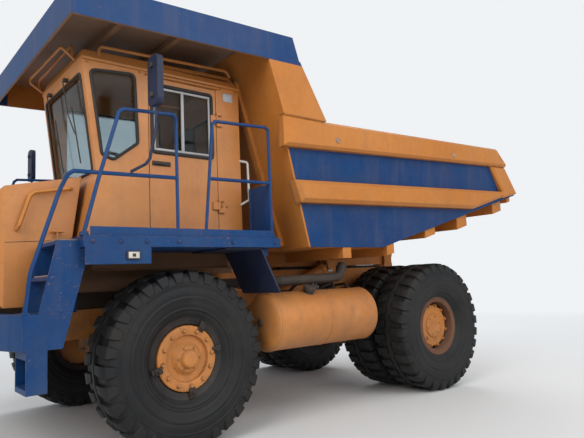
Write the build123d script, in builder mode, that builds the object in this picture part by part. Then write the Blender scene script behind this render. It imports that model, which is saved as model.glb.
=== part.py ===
from build123d import *
from math import cos, pi, sin
import os

# A rigid mining dump truck of the 30 tonne class: a box-rail frame on two axles, a cab on the left
# over a walkway deck, and a tipping body hinged behind the rear axle. Front faces -Y, left is +X.

# Whole truck, in millimetres
wheelbase = 3550
front_overhang = 1560
rear_overhang = 2000
front_y = -(front_overhang + wheelbase + rear_overhang) / 2
front_axle_y = front_y + front_overhang
rear_axle_y = front_axle_y + wheelbase
tail_y = rear_axle_y + rear_overhang

# Tyres and rims
tyre_radius = 805
tyre_width = 500
lug_height = 28
lug_count = 20
bead_radius = 318
flange_radius = 390
flange_thickness = 12
rim_width = 330
axle_z = tyre_radius
front_wheel_x = 1390
twin_spacing = 580
rear_inner_x = 965
rear_outer_x = rear_inner_x + twin_spacing
kingpin_x = 1130
kingpin_radius = 45
pin_clearance = 0.05

# Frame
rail_inner_x = 320
rail_outer_x = 460
frame_top_z = 1610
frame_low_z = 960
pivot_y = rear_axle_y + 500
pivot_z = 1470
pivot_pin_radius = 45
pivot_boss_radius = 140

# Tipping body
body_floor_z = 1812
body_half_width = 1930
rail_depth = 70
side_lean = 115
side_top_x = body_half_width - rail_depth
side_low_x = side_top_x - side_lean
wall = 24
floor_thickness = 36
floor_kink_y = rear_axle_y - 1010
front_wall_low_y = front_axle_y + 1375
front_wall_top_y = front_axle_y + 795
front_wall_top_z = 3700
floor_tail_z = 2618
rail_front_top_z = 3160
rail_rear_top_z = 3260
rail_front_y = front_axle_y + 1550
rail_rear_y = tail_y - 570
tail_tip_z = 2630
tail_shoulder_y = tail_y - 330
tail_shoulder_z = 3050
canopy_front_y = front_axle_y - 1150
canopy_right_x = -780
canopy_low_z = 3640
canopy_rise = 0.032
canopy_fascia = 285
canopy_plate = 24
canopy_tip_y = front_axle_y + 1210
sill_low_z = frame_top_z + 40

# Hoist cylinders
hoist_x = 600
hoist_base_y = pivot_y - 2655
hoist_base_z = 1100
base_pin_radius = 40

# Cab and decks
deck_z = 1890
deck_thickness = 90
deck_half_width = 1850
deck_rear_y = front_axle_y + 910
deck_front_y = front_axle_y - 1025
walk_inner_x = -650
cab_left_x = 1400
cab_right_x = 200
cab_wall = 45
cab_front_low_y = front_axle_y - 865
cab_waist_y = front_axle_y - 760
cab_waist_z = 2470
cab_front_top_y = front_axle_y - 890
cab_rear_y = front_axle_y + 767
gutter_z = 3530
roof_front_z = 3620
roof_rear_z = 3680
roof_inset = 90
door_front_y = front_axle_y - 265
door_rear_y = front_axle_y + 485
door_gap = 6
glass_thickness = 8
nose_half_width = 1200
nose_low_z = 1345
nose_top_front_z = 2345
nose_top_rear_z = 2477
nose_rear_low_y = front_axle_y - 910
nose_rear_top_y = front_axle_y - 825
bumper_low_z = 1030
bumper_top_z = 1300
bumper_depth = 150
bumper_half_width = deck_half_width - 100

os.makedirs("parts", exist_ok=True)


def save(piece, label):
    """Write one finished piece to its own file."""
    piece.part.label = label
    export_step(piece.part, f"parts/{label}.step")


def block(x0, x1, y0, y1, z0, z1, mode=Mode.ADD):
    """A box between two corners, in the current part."""
    with Locations(((x0 + x1) / 2, (y0 + y1) / 2, (z0 + z1) / 2)):
        Box(abs(x1 - x0), abs(y1 - y0), abs(z1 - z0), mode=mode)


def rod(start, end, radius, mode=Mode.ADD):
    """A round bar from one point to another, in the current part."""
    along = Vector(*end) - Vector(*start)
    with BuildSketch(Plane(origin=start, z_dir=along)) as section:
        Circle(radius)
    extrude(section.sketch, amount=along.length, mode=mode)


def bar(start, end, radius, mode=Mode.ADD):
    """A bar of twelve flats from one point to another, in the current part."""
    along = Vector(*end) - Vector(*start)
    with BuildSketch(Plane(origin=start, z_dir=along)) as section:
        RegularPolygon(radius, 12)
    extrude(section.sketch, amount=along.length, mode=mode)


def side_plate(outline, x0, x1, mode=Mode.ADD, corner=0):
    """A flat plate with a (y, z) outline, from x0 to x1, in the current part; its corners may be round."""
    with BuildSketch(Plane.YZ.offset(x0)) as section:
        Polygon(*outline, align=None)
        if corner:
            fillet(section.vertices(), corner)
    extrude(section.sketch, amount=x1 - x0, mode=mode)


def tube_run(points, radius, cut, flats=6):
    """A tube of flats through the points, each corner cut to two gentler ones, in the current part."""
    corners = [Vector(*point) for point in points]
    route = [corners[0]]
    for before, corner, after in zip(corners, corners[1:], corners[2:]):
        route.append(corner + (before - corner).normalized() * cut)
        route.append(corner + (after - corner).normalized() * cut)
    route.append(corners[-1])
    with BuildLine() as path:
        Polyline(*route)
    with BuildSketch(Plane(origin=path.line @ 0, z_dir=path.line % 0)) as section:
        RegularPolygon(radius, flats)
    sweep(section.sketch, path=path.line, transition=Transition.RIGHT)


def ring(x, y, z, length, outer, flats, inner=0, mode=Mode.ADD):
    """A drum or ring of flats about an axis along X, starting at x, in the current part."""
    with BuildSketch(Plane.YZ.offset(x)) as section:
        with Locations((y, z)):
            RegularPolygon(outer, flats)
            if inner:
                RegularPolygon(inner, flats, mode=Mode.SUBTRACT)
    extrude(section.sketch, amount=length, mode=mode)


# Wheels. A tyre is a ring of flats; the two halves of its tread carry staggered shoulder lugs.
ring_sides = 20
tyre_half = tyre_width / 2
tread_half = tyre_half - 35
groove_radius = tyre_radius - lug_height
shoulder_radius = tyre_radius - 60
shoulder_fall = 130
dish_radius = tyre_radius - 230
flange_gap = 12
# The bead dish slopes so that it clears the rim's flange
dish_depth = ((dish_radius - bead_radius) / (dish_radius - flange_radius - flange_gap)
              * (tyre_half - rim_width / 2))


def lug_outline(turn):
    """Points of a tread half with its lugs, as (y, z) about the axle."""
    points = []
    # Columns: share of one lug pitch, radius
    tooth = ((0.0, groove_radius), (0.07, tyre_radius), (0.60, tyre_radius), (0.67, groove_radius))
    for index in range(lug_count):
        for share, radius in tooth:
            angle = 2 * pi * (index + share + turn) / lug_count
            points.append((radius * cos(angle), radius * sin(angle)))
    return points


def tyre(with_lugs):
    """A tyre about the X axis at the origin; the hidden inner twins have a plain tread."""
    with BuildPart() as form:
        with BuildSketch(Plane.YZ.offset(-tyre_half)):
            RegularPolygon(shoulder_radius, ring_sides, major_radius=False)
        extrude(amount=tyre_width)
        for index in (0, -1):
            wall_face = form.faces().sort_by(Axis.X)[index]
            chamfer(wall_face.edges(), length=shoulder_fall, length2=tyre_half - tread_half,
                    reference=wall_face)
        for side in (-1, 1):
            with BuildSketch(Plane.YZ):
                if with_lugs:
                    Polygon(*lug_outline(0.25 * (1 + side)), align=None)
                else:
                    RegularPolygon(tyre_radius - lug_height / 2, ring_sides, major_radius=False)
            extrude(amount=side * tread_half)
        with BuildSketch(Plane.YZ.offset(-tyre_half)):
            RegularPolygon(bead_radius, ring_sides, major_radius=False)
        extrude(amount=tyre_width, mode=Mode.SUBTRACT)
        for index in (0, -1):
            wall_face = form.faces().sort_by(Axis.X)[index]
            chamfer(wall_face.inner_wires()[0].edges(), length=dish_radius - bead_radius, length2=dish_depth,
                    reference=wall_face)
    return form.part


lugged_tyre = tyre(True)
plain_tyre = tyre(False)


rim_half = rim_width / 2
rim_outer = rim_half + flange_thickness
drum_radius = 300
# Rim drum from its inner flange to its outer flange. Columns: from, to, radius, all from the rim's middle
drum_bands = ((-rim_outer, -rim_half, flange_radius), (-rim_half, rim_half, bead_radius),
              (rim_half, rim_outer, flange_radius))
hub_flats = 24
# Steps of a front hub from its disc to its cap. Columns: from, to, radius, bevel of the outer edge
front_hub = ((70, 186, 288, 8), (186, 205, 115, 6), (205, 264, 80, 25))
hub_recess_radius = 210
hub_recess = 36
# Planet cover of a rear wheel, set back in the rim
cover_back = 34
cover_face = 90
cover_radius = 262
cover_cap = (14, 150, 8)
lobe_count = 12
lobe_radius = 28
lobe_ring = cover_radius - 4


def drum(x, y):
    """A rim's drum of flats with its two flanges."""
    for low, high, radius in drum_bands:
        ring(x + low, y, axle_z, high - low, radius, ring_sides, drum_radius)


def hub_step(x, y, length, radius, bevel):
    """One step of a hub with its outer edge bevelled, as a separate solid."""
    with BuildPart() as step:
        ring(x, y, axle_z, length, radius, hub_flats)
        outer_face = step.faces().sort_by(Axis.X)[-1 if length > 0 else 0]
        chamfer(outer_face.edges(), length=bevel)
    return step.part


# Wheel stations. Columns: name, side of the truck
sides = (("left", 1), ("right", -1))
for name, side in sides:
    with BuildPart() as front_tyre:
        with Locations((side * front_wheel_x, front_axle_y, axle_z)):
            add(lugged_tyre)
    save(front_tyre, f"front_tyre_{name}")

    with BuildPart() as front_rim:
        drum(side * front_wheel_x, front_axle_y)
        ring(side * (front_wheel_x + front_hub[0][0]), front_axle_y, axle_z, side * 45, drum_radius + 2,
             ring_sides)
        for low, high, radius, bevel in front_hub:
            add(hub_step(side * (front_wheel_x + low), front_axle_y, side * (high - low), radius, bevel))
            if low == front_hub[0][0]:
                ring(side * (front_wheel_x + high - hub_recess), front_axle_y, axle_z, side * hub_recess,
                     hub_recess_radius, hub_flats, front_hub[1][2], mode=Mode.SUBTRACT)
    save(front_rim, f"front_rim_{name}")

    with BuildPart() as rear_tyres:
        with Locations((side * rear_inner_x, rear_axle_y, axle_z)):
            add(plain_tyre)
        with Locations((side * rear_outer_x, rear_axle_y, axle_z)):
            add(lugged_tyre)
    save(rear_tyres, f"rear_tyres_{name}")

    with BuildPart() as rear_rims:
        drum(side * rear_inner_x, rear_axle_y)
        drum(side * rear_outer_x, rear_axle_y)
        ring(side * (rear_inner_x + rim_outer), rear_axle_y, axle_z, side * (twin_spacing - 2 * rim_outer),
             bead_radius, ring_sides, drum_radius)
        cover_root = side * (rear_outer_x + cover_back)
        ring(cover_root, rear_axle_y, axle_z, side * 16, drum_radius + 2, ring_sides)
        with BuildSketch(Plane.YZ.offset(cover_root)) as cover:
            with Locations((rear_axle_y, axle_z)):
                RegularPolygon(cover_radius, 2 * lobe_count)
                with PolarLocations(lobe_ring, lobe_count):
                    RegularPolygon(lobe_radius, 6)
        extrude(cover.sketch, amount=side * (cover_face - cover_back))
        add(hub_step(side * (rear_outer_x + cover_face), rear_axle_y, side * cover_cap[0], cover_cap[1],
                     cover_cap[2]))
    save(rear_rims, f"rear_rims_{name}")


# Front axle beam with its forked ends, and the knuckles that turn on the kingpins
knuckle_height = 150
fork_gap = knuckle_height / 2 + 8
fork_thickness = 45
fork_root_x = kingpin_x - 260
beam_tip_x = kingpin_x - 240
beam_half = 90
front_tube_y = front_axle_y + 1045
front_tube_z = 1120
cross_tube_radius = 85
drag_arm_end_y = front_tube_y - cross_tube_radius - 2
with BuildPart() as front_axle:
    block(-beam_tip_x, beam_tip_x, front_axle_y - beam_half, front_axle_y + beam_half, axle_z - 95,
          axle_z + 85)
    for name, side in sides:
        for level in (-1, 1):
            z0 = axle_z + level * fork_gap
            z1 = axle_z + level * (fork_gap + fork_thickness)
            block(side * fork_root_x, side * (kingpin_x + 60), front_axle_y - 65, front_axle_y + 65,
                  min(z0, z1), max(z0, z1))
        block(side * fork_root_x, side * (kingpin_x - 155), front_axle_y - 60, front_axle_y + 60,
              axle_z - fork_gap, axle_z + fork_gap)
        rod((side * kingpin_x, front_axle_y, axle_z - fork_gap - fork_thickness),
            (side * kingpin_x, front_axle_y, axle_z + fork_gap + fork_thickness), kingpin_radius)
    side_plate([(front_axle_y + beam_half, axle_z - 60), (front_axle_y + beam_half, axle_z + 60),
                (drag_arm_end_y, front_tube_z - 25), (drag_arm_end_y, front_tube_z - 125)], -60, 60)
save(front_axle, "front_axle")

spindle_radius = 70
hub_back_x = front_wheel_x + 30
steer_arm_y = front_axle_y + 330
steer_arm_x = kingpin_x - 90
for name, side in sides:
    with BuildPart() as knuckle:
        with BuildSketch(Plane.XY.offset(axle_z - knuckle_height / 2)):
            with Locations((side * kingpin_x, front_axle_y)):
                RegularPolygon(82, 16)
        extrude(amount=knuckle_height)
        bar((side * kingpin_x, front_axle_y, axle_z), (side * hub_back_x, front_axle_y, axle_z),
            spindle_radius)
        with BuildSketch(Plane.XY.offset(axle_z - knuckle_height / 2)):
            Polygon((side * (kingpin_x + 50), front_axle_y), (side * (kingpin_x - 50), front_axle_y + 60),
                    (side * (steer_arm_x - 35), steer_arm_y), (side * (steer_arm_x + 35), steer_arm_y),
                    (side * (kingpin_x + 50), front_axle_y + 60), align=None)
        extrude(amount=40)
        rod((side * kingpin_x, front_axle_y, axle_z - knuckle_height),
            (side * kingpin_x, front_axle_y, axle_z + knuckle_height), kingpin_radius + pin_clearance,
            mode=Mode.SUBTRACT)
    save(knuckle, f"knuckle_{name}")

tie_rod_z = axle_z - knuckle_height / 2 - 32
tie_rod_y = steer_arm_y - 30
with BuildPart() as tie_rod:
    bar((-steer_arm_x, tie_rod_y, tie_rod_z), (steer_arm_x, tie_rod_y, tie_rod_z), 27)
save(tie_rod, "tie_rod")

# Frame: two deep box rails, cross tubes, the front carrier plates and the tipping hinge bosses
bumper_rear_y = front_y + bumper_depth
rail_outline = [(bumper_rear_y, frame_low_z), (bumper_rear_y, 1250), (front_axle_y + 495, 1290),
                (front_axle_y + 995, frame_top_z), (pivot_y, frame_top_z), (pivot_y + 100, pivot_z + 98),
                (pivot_y + pivot_boss_radius, pivot_z), (pivot_y + 100, pivot_z - 98),
                (pivot_y, pivot_z - pivot_boss_radius), (rear_axle_y - 405, 1250), (rear_axle_y - 855, 1080),
                (front_axle_y + 995, frame_low_z + 50)]
drag_tube_y = rear_axle_y - 1055
strut_tube_z = 1430
# Columns: y, z, reach either side of the middle
cross_tubes = ((front_tube_y, front_tube_z, rail_inner_x), (drag_tube_y, 1200, 560),
               (rear_axle_y, strut_tube_z, 640), (pivot_y - 260, 1400, rail_inner_x))
base_pin_end_x = hoist_x + 90
strut_x = 590
strut_pad_depth = 95
with BuildPart() as frame:
    for name, side in sides:
        side_plate(rail_outline, side * rail_inner_x, side * rail_outer_x)
        rod((side * (rail_inner_x - 40), pivot_y, pivot_z), (side * (rail_outer_x + 40), pivot_y, pivot_z),
            pivot_pin_radius + pin_clearance, mode=Mode.SUBTRACT)
    for y, z, reach in cross_tubes:
        bar((-reach, y, z), (reach, y, z), cross_tube_radius)
    block(-rail_inner_x, rail_inner_x, bumper_rear_y, bumper_rear_y + 60, frame_low_z + 40, 1230)
    for name, side in sides:
        rod((side * rail_outer_x, hoist_base_y, hoist_base_z), (side * base_pin_end_x, hoist_base_y,
                                                                hoist_base_z),
            base_pin_radius)
        bar((side * (hoist_x + 72), hoist_base_y, hoist_base_z), (side * base_pin_end_x, hoist_base_y,
                                                                  hoist_base_z), 60)
        block(side * (rail_inner_x + 15), side * (rail_outer_x - 15), hoist_base_y + 150, hoist_base_y + 450,
              frame_top_z, sill_low_z - 6)
        block(side * (strut_x - 45), side * (strut_x + 45), rear_axle_y - 60, rear_axle_y + 60,
              strut_tube_z - strut_pad_depth, strut_tube_z)
save(frame, "frame")

# Suspension struts: a gas cylinder over a thinner rod, from each axle end up to the frame
front_strut_x = 600
strut_radius = 62
strut_rod_radius = 40
# Columns: x, y, foot, lower end of the cylinder, top
struts_table = ((front_strut_x, front_axle_y, axle_z + 85, axle_z + 230, 1330),
                (strut_x, rear_axle_y, axle_z + 190, axle_z + 310, strut_tube_z - strut_pad_depth))
with BuildPart() as struts:
    for name, side in sides:
        for x, y, foot, cylinder_low, top in struts_table:
            bar((side * x, y, foot), (side * x, y, cylinder_low), strut_rod_radius)
            bar((side * x, y, cylinder_low), (side * x, y, top), strut_radius)
        block(side * rail_outer_x, side * (front_strut_x + 70), front_axle_y - 80, front_axle_y + 80, 1150,
              1250)
save(struts, "suspension_struts")

# Rear axle: banjo casing with round arms out to the hubs, its drag frame and the propeller shaft
casing_radius = 330
casing_half = 420
casing_taper = 260
engine_rear_y = front_axle_y + 895
shaft_radius = 45
shaft_start = (0, engine_rear_y + 12, 1330)
shaft_end = (0, rear_axle_y - casing_radius + 40, axle_z + 60)
arm_radius = 120
arm_end_x = rear_outer_x + 10
drag_ball_y = drag_tube_y + cross_tube_radius + 60
with BuildPart() as rear_axle:
    ring(-casing_half, rear_axle_y, axle_z, 2 * casing_half, casing_radius, hub_flats)
    for index in (0, -1):
        casing_face = rear_axle.faces().sort_by(Axis.X)[index]
        chamfer(casing_face.edges(), length=casing_radius - arm_radius - 15, length2=casing_taper,
                reference=casing_face)
    bar((-arm_end_x, rear_axle_y, axle_z), (arm_end_x, rear_axle_y, axle_z), arm_radius)
    for name, side in sides:
        block(side * (strut_x - 70), side * (strut_x + 60), rear_axle_y - 90, rear_axle_y + 90, axle_z + 60,
              axle_z + 190)
    side_plate([(rear_axle_y - 150, axle_z + 150), (rear_axle_y - 150, axle_z + 270), (drag_ball_y, 1250),
                (drag_ball_y, 1150)], -70, 70)
    bar(shaft_start, shaft_end, shaft_radius)
save(rear_axle, "rear_axle")

# Engine and gearbox, plain blocks at their real places
engine_front_y = front_axle_y - 1185
gearbox_front_y = front_axle_y - 5
deck_low_z = deck_z - deck_thickness
with BuildPart() as engine:
    block(-300, 300, engine_front_y, gearbox_front_y, 1130, deck_low_z - 20)
    block(-300, 140, engine_front_y, gearbox_front_y, deck_low_z - 20, deck_z + 160)
    block(-240, 240, gearbox_front_y, engine_rear_y, 1180, 1560)
save(engine, "engine")

# Nose: the wide radiator housing above the bumper with bevelled edges, open in front for the grille
nose_front_y = front_y + 75
nose_outline = [(nose_front_y, nose_low_z), (nose_front_y, nose_top_front_z), (nose_rear_top_y,
                                                                               nose_top_rear_z),
                (nose_rear_low_y, deck_z + 10), (nose_rear_low_y, nose_low_z)]
nose_skin = 40
nose_bevel = 35
grille_half_width = 620
grille_low_z = 1480
grille_top_z = 2220
with BuildPart() as nose:
    side_plate(nose_outline, -nose_half_width, nose_half_width)
    chamfer(nose.faces().sort_by(Axis.Y)[0].edges(), length=nose_bevel)
    block(-nose_half_width + nose_skin, nose_half_width - nose_skin, nose_front_y + nose_skin,
          nose_rear_top_y + 120,
          nose_low_z - 10, nose_top_front_z - nose_skin - 5, mode=Mode.SUBTRACT)
    block(-grille_half_width, grille_half_width, front_y, nose_front_y + nose_skin + 1, grille_low_z,
          grille_top_z,
          mode=Mode.SUBTRACT)
save(nose, "nose_panel")

with BuildPart() as grille:
    block(-grille_half_width - 30, grille_half_width + 30, nose_front_y + nose_skin,
          nose_front_y + nose_skin + 90,
          grille_low_z - 30, grille_top_z + 30)
    slat_count = 9
    pitch = (grille_top_z - grille_low_z) / slat_count
    for index in range(slat_count):
        z = grille_low_z + (index + 0.5) * pitch
        block(-grille_half_width, grille_half_width, nose_front_y + 10, nose_front_y + nose_skin, z - 12,
              z + 12)
save(grille, "grille")

# Hood over the engine, from the nose back to the rear of the cab
hood_top_z = 2330
hood_rear_y = front_axle_y + 695
hood_skin = 30
hood_bevel = 45
hood_left_x = cab_right_x - 10
with BuildPart() as hood:
    block(walk_inner_x, hood_left_x, nose_rear_top_y + 10, hood_rear_y, deck_z, hood_top_z)
    chamfer(hood.faces().sort_by(Axis.Z)[-1].edges().filter_by(Axis.Y), length=hood_bevel)
    block(walk_inner_x + hood_skin, hood_left_x - hood_skin, nose_rear_top_y, hood_rear_y - hood_skin,
          deck_z - 10,
          hood_top_z - hood_bevel, mode=Mode.SUBTRACT)
save(hood, "hood")

# Bumper with tapered ends, a step box and a hanging step at each end, and the two tow eyes under it
step_inner_x = nose_half_width + 50
box_front_y = front_y + 124
box_rear_top_y = front_y + 484
box_rear_low_y = front_y + 411
step_plate = 12
box_outline = [(bumper_rear_y, bumper_low_z), (bumper_rear_y, bumper_top_z), (box_rear_top_y, bumper_top_z),
               (box_rear_low_y, bumper_low_z)]
box_hollow = [(bumper_rear_y + step_plate, bumper_low_z + 50), (bumper_rear_y + step_plate,
                                                                bumper_top_z - step_plate),
              (box_rear_top_y - 30, bumper_top_z - step_plate), (box_rear_low_y - 10, bumper_low_z + 50)]
hanging_step_z = 715
hanging_step_x = step_inner_x + 180
hanging_step_y = bumper_rear_y + 150
tow_plate = 50
tow_eye_y = front_y + 75
tow_eye_z = 955
tow_eye_radius = 32
tow_middle_x = (rail_inner_x + rail_outer_x) / 2
with BuildPart() as bumper:
    with BuildSketch(Plane.XY.offset(bumper_low_z)):
        Polygon((-bumper_half_width, box_front_y), (-step_inner_x, front_y), (step_inner_x, front_y),
                (bumper_half_width, box_front_y), (bumper_half_width, bumper_rear_y),
                (-bumper_half_width, bumper_rear_y), align=None)
    extrude(amount=bumper_top_z - bumper_low_z)
    for name, side in sides:
        side_plate(box_outline, side * step_inner_x, side * bumper_half_width)
        side_plate(box_hollow, side * (step_inner_x + step_plate), side * (bumper_half_width - step_plate),
                   mode=Mode.SUBTRACT)
        block(side * hanging_step_x, side * bumper_half_width, bumper_rear_y, hanging_step_y, hanging_step_z,
              bumper_low_z)
        block(side * (hanging_step_x + step_plate), side * (bumper_half_width - step_plate),
              bumper_rear_y - 10,
              hanging_step_y - step_plate, hanging_step_z + 40, bumper_low_z - 60, mode=Mode.SUBTRACT)
        near = side * (tow_middle_x - tow_plate / 2)
        far = side * (tow_middle_x + tow_plate / 2)
        bar((near, tow_eye_y, tow_eye_z), (far, tow_eye_y, tow_eye_z), 2 * tow_eye_radius)
        side_plate([(tow_eye_y, tow_eye_z - 2 * tow_eye_radius), (bumper_rear_y, tow_eye_z - 30),
                    (bumper_rear_y, bumper_low_z - 6), (tow_eye_y - 20, bumper_low_z - 6)], near, far)
        rod((near - side, tow_eye_y, tow_eye_z), (far + side, tow_eye_y, tow_eye_z), tow_eye_radius,
            mode=Mode.SUBTRACT)
save(bumper, "front_bumper")

# Stairs from the step box to the deck, between two sloping cheek plates
stair_top_z = 1857
stair_low_front_y = front_y + 235
stair_top_front_y = front_y + 365
cheek = 12
cheek_outline = [(stair_low_front_y, bumper_top_z), (stair_top_front_y, stair_top_z), (deck_front_y,
                                                                                       stair_top_z),
                 (deck_front_y, deck_low_z), (deck_front_y + 83, deck_low_z), (box_rear_top_y, bumper_top_z)]
tread_count = 2
tread_depth = 170
with BuildPart() as stairs:
    for name, side in sides:
        side_plate(cheek_outline, side * (bumper_half_width - cheek), side * bumper_half_width)
        side_plate(cheek_outline, side * step_inner_x, side * (step_inner_x + cheek))
        for index in range(tread_count):
            share = (index + 1) / tread_count
            z = bumper_top_z + share * (stair_top_z - bumper_top_z)
            y = stair_low_front_y + share * (stair_top_front_y - stair_low_front_y)
            block(side * (step_inner_x + cheek), side * (bumper_half_width - cheek), y, y + tread_depth,
                  z - 30, z)
save(stairs, "stairs")

# Decks: plates beside and behind the hood with a deep outer edge, a toe board and a side skirt
toe_height = 75
skirt_low_z = 1660
rail_x = deck_half_width - 50
bracket_stations = (front_axle_y - 705, front_axle_y + 765)
bracket_width = 60
bracket_depth = 80
with BuildPart() as decks:
    block(cab_right_x, deck_half_width, nose_rear_low_y, deck_rear_y, deck_low_z, deck_z)
    block(-deck_half_width, walk_inner_x, nose_rear_low_y, deck_rear_y, deck_low_z, deck_z)
    block(walk_inner_x, cab_right_x, hood_rear_y - 100, deck_rear_y, deck_low_z, deck_z)
    for name, side in sides:
        block(side * (nose_half_width + 20), side * deck_half_width, deck_front_y, nose_rear_low_y,
              deck_low_z, deck_z)
        block(side * (deck_half_width - 30), side * (deck_half_width - 22), deck_front_y + 60,
              deck_rear_y - 60,
              deck_z, deck_z + toe_height)
        block(side * (deck_half_width - 12), side * deck_half_width, deck_front_y + 10, deck_front_y + 560,
              skirt_low_z, deck_low_z)
        for y in bracket_stations:
            block(side * rail_outer_x, side * (deck_half_width - 100), y, y + bracket_width,
                  deck_low_z - bracket_depth, deck_low_z)
            block(side * rail_outer_x, side * (rail_outer_x + bracket_width), y, y + bracket_width, 1250,
                  deck_low_z - bracket_depth)
save(decks, "decks")

# Handrails of bent tube. The stair rail stands on the bumper and leans back to the outer edge of the deck.
tube = 17
bend_cut = 30
foot_pad = 8
rail_foot_z = deck_z + 25
stair_rail_x = bumper_half_width - 25
nose_rail_x = nose_half_width + 45
front_post_y = front_axle_y - 1007
gate_front_y = front_axle_y - 187
gate_rear_y = front_axle_y + 93
rear_post_y = front_axle_y + 845
# Runs of (x, y, z) on the left side
rail_runs = (
    ((stair_rail_x, front_y + 150, bumper_top_z + foot_pad), (stair_rail_x, front_y + 179, 1600),
     (stair_rail_x, front_y + 391, 2255), (rail_x, front_axle_y - 1115, 2400), (rail_x, gate_front_y, 2418)),
    ((rail_x, front_post_y, rail_foot_z), (rail_x, front_axle_y - 893, 2342), (rail_x, front_axle_y - 705,
                                                                               2968),
     (rail_x, gate_front_y, 2995), (rail_x, gate_front_y, rail_foot_z)),
    ((rail_x, gate_rear_y, rail_foot_z), (rail_x, gate_rear_y + 100, 2995), (rail_x, rear_post_y, 3022),
     (rail_x, rear_post_y, rail_foot_z)),
    ((rail_x, gate_rear_y + 52, 2440), (rail_x, rear_post_y, 2450)),
    ((nose_half_width, front_y + 203, 1990), (nose_rail_x, front_y + 203, 1990), (nose_rail_x, front_y + 303,
                                                                                  2300),
     (nose_rail_x, nose_rear_top_y - 95, 2360), (nose_half_width, nose_rear_top_y - 95, 2360)),
)
with BuildPart() as handrails:
    for name, side in sides:
        for run in rail_runs:
            points = [(side * x, y, z) for x, y, z in run]
            if len(points) == 2:
                bar(points[0], points[1], tube)
            else:
                tube_run(points, tube, bend_cut)
        for y in (front_post_y, gate_front_y, gate_rear_y, rear_post_y):
            block(side * (rail_x - 20), side * (rail_x + 20), y - 30, y + 30, deck_z, rail_foot_z + foot_pad)
        block(side * (stair_rail_x - 24), side * (stair_rail_x + 24), front_y + 125, front_y + 175,
              bumper_top_z,
              bumper_top_z + 2 * foot_pad)
save(handrails, "handrails")

# Cab: a hollow shell whose windscreen leans out at the top, with its windows and doorway cut through
cab_outline = [(cab_front_low_y, deck_z), (cab_waist_y, cab_waist_z), (cab_front_top_y, gutter_z),
               (cab_front_top_y + 30, roof_front_z), (cab_rear_y - 60, roof_rear_z), (cab_rear_y, gutter_z),
               (cab_rear_y, deck_z)]
cab_section = [(cab_right_x, deck_z), (cab_left_x, deck_z), (cab_left_x, gutter_z),
               (cab_left_x - roof_inset, roof_rear_z), (cab_right_x + roof_inset, roof_rear_z), (cab_right_x,
                                                                                                 gutter_z)]
screen_low_z = 2510
screen_top_z = 3400
screen_margin = 75
window_corner = 45
quarter_window = [(cab_waist_y - 54, 3420), (door_front_y - 135, 3455), (door_front_y - 108, 2800),
                  (door_front_y - 340, 2620), (cab_waist_y + 48, 2655)]
door_low_z = deck_z + 100
door_top_z = 3470
# Windows of the door and of the right wall. Columns: front y, rear y, sill z, head z
door_window = (door_front_y + 35, door_rear_y - 55, 2735, 3400)
right_window = (cab_waist_y + 105, door_rear_y - 50, 2650, 3400)
# Rear window. Columns: right x, left x, sill z, head z
rear_window = (cab_right_x + 230, cab_left_x - 220, 2750, 3350)
hinge_x = cab_left_x + 20
hinge_y = door_rear_y - 3
hinge_heights = (2250, 3150)
hinge_half = 40
hinge_pin = 8
hinge_barrel = 14
gutter_depth = 24
gutter_reach = 20


def window_outline(window):
    """Corners of an upright side window as (y, z)."""
    front, rear, sill, head = window
    return [(front, sill), (front, head), (rear, head), (rear, sill)]


def screen_y(z):
    """Outer face of the windscreen wall at a height."""
    return cab_waist_y + (z - cab_waist_z) / (gutter_z - cab_waist_z) * (cab_front_top_y - cab_waist_y)


# The windscreen's opening seen from the front
with BuildPart() as screen_opening:
    with BuildSketch(Plane.XZ.offset(-cab_waist_y - 100)):
        with Locations(((cab_right_x + cab_left_x) / 2, (screen_low_z + screen_top_z) / 2)):
            RectangleRounded(cab_left_x - cab_right_x - 2 * screen_margin, screen_top_z - screen_low_z,
                             window_corner)
    extrude(amount=400)

with BuildPart() as cab:
    with BuildSketch(Plane.YZ.offset(cab_right_x)):
        Polygon(*cab_outline, align=None)
    extrude(amount=cab_left_x - cab_right_x)
    with BuildSketch(Plane.XZ.offset(-cab_rear_y)):
        Polygon(*cab_section, align=None)
    extrude(amount=cab_rear_y - cab_front_top_y, mode=Mode.INTERSECT)
    with BuildSketch(Plane.YZ.offset(cab_right_x + cab_wall)):
        Polygon(*cab_outline, align=None)
        offset(amount=-cab_wall, kind=Kind.INTERSECTION)
    extrude(amount=cab_left_x - cab_right_x - 2 * cab_wall, mode=Mode.SUBTRACT)
    add(screen_opening.part, mode=Mode.SUBTRACT)
    side_plate(quarter_window, cab_left_x - cab_wall - 1, cab_left_x + 1, Mode.SUBTRACT, window_corner)
    block(cab_left_x - cab_wall - 1, cab_left_x + 1, door_front_y, door_rear_y, door_low_z, door_top_z,
          mode=Mode.SUBTRACT)
    side_plate(window_outline(right_window), cab_right_x - 1, cab_right_x + cab_wall + 1, Mode.SUBTRACT,
               window_corner)
    block(rear_window[0], rear_window[1], cab_rear_y - cab_wall - 1, cab_rear_y + 1, rear_window[2],
          rear_window[3],
          mode=Mode.SUBTRACT)
    for x in (cab_left_x, cab_right_x - gutter_reach):
        block(x, x + gutter_reach, cab_front_top_y, cab_rear_y, gutter_z - gutter_depth, gutter_z)
    for z in hinge_heights:
        rod((hinge_x, hinge_y, z - 70), (hinge_x, hinge_y, z + 70), hinge_pin)
        for low in (z - 70, z + 45):
            block(cab_left_x, hinge_x + 8, hinge_y - 5, hinge_y + 60, low, low + 25)
save(cab, "cab_shell")

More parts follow.
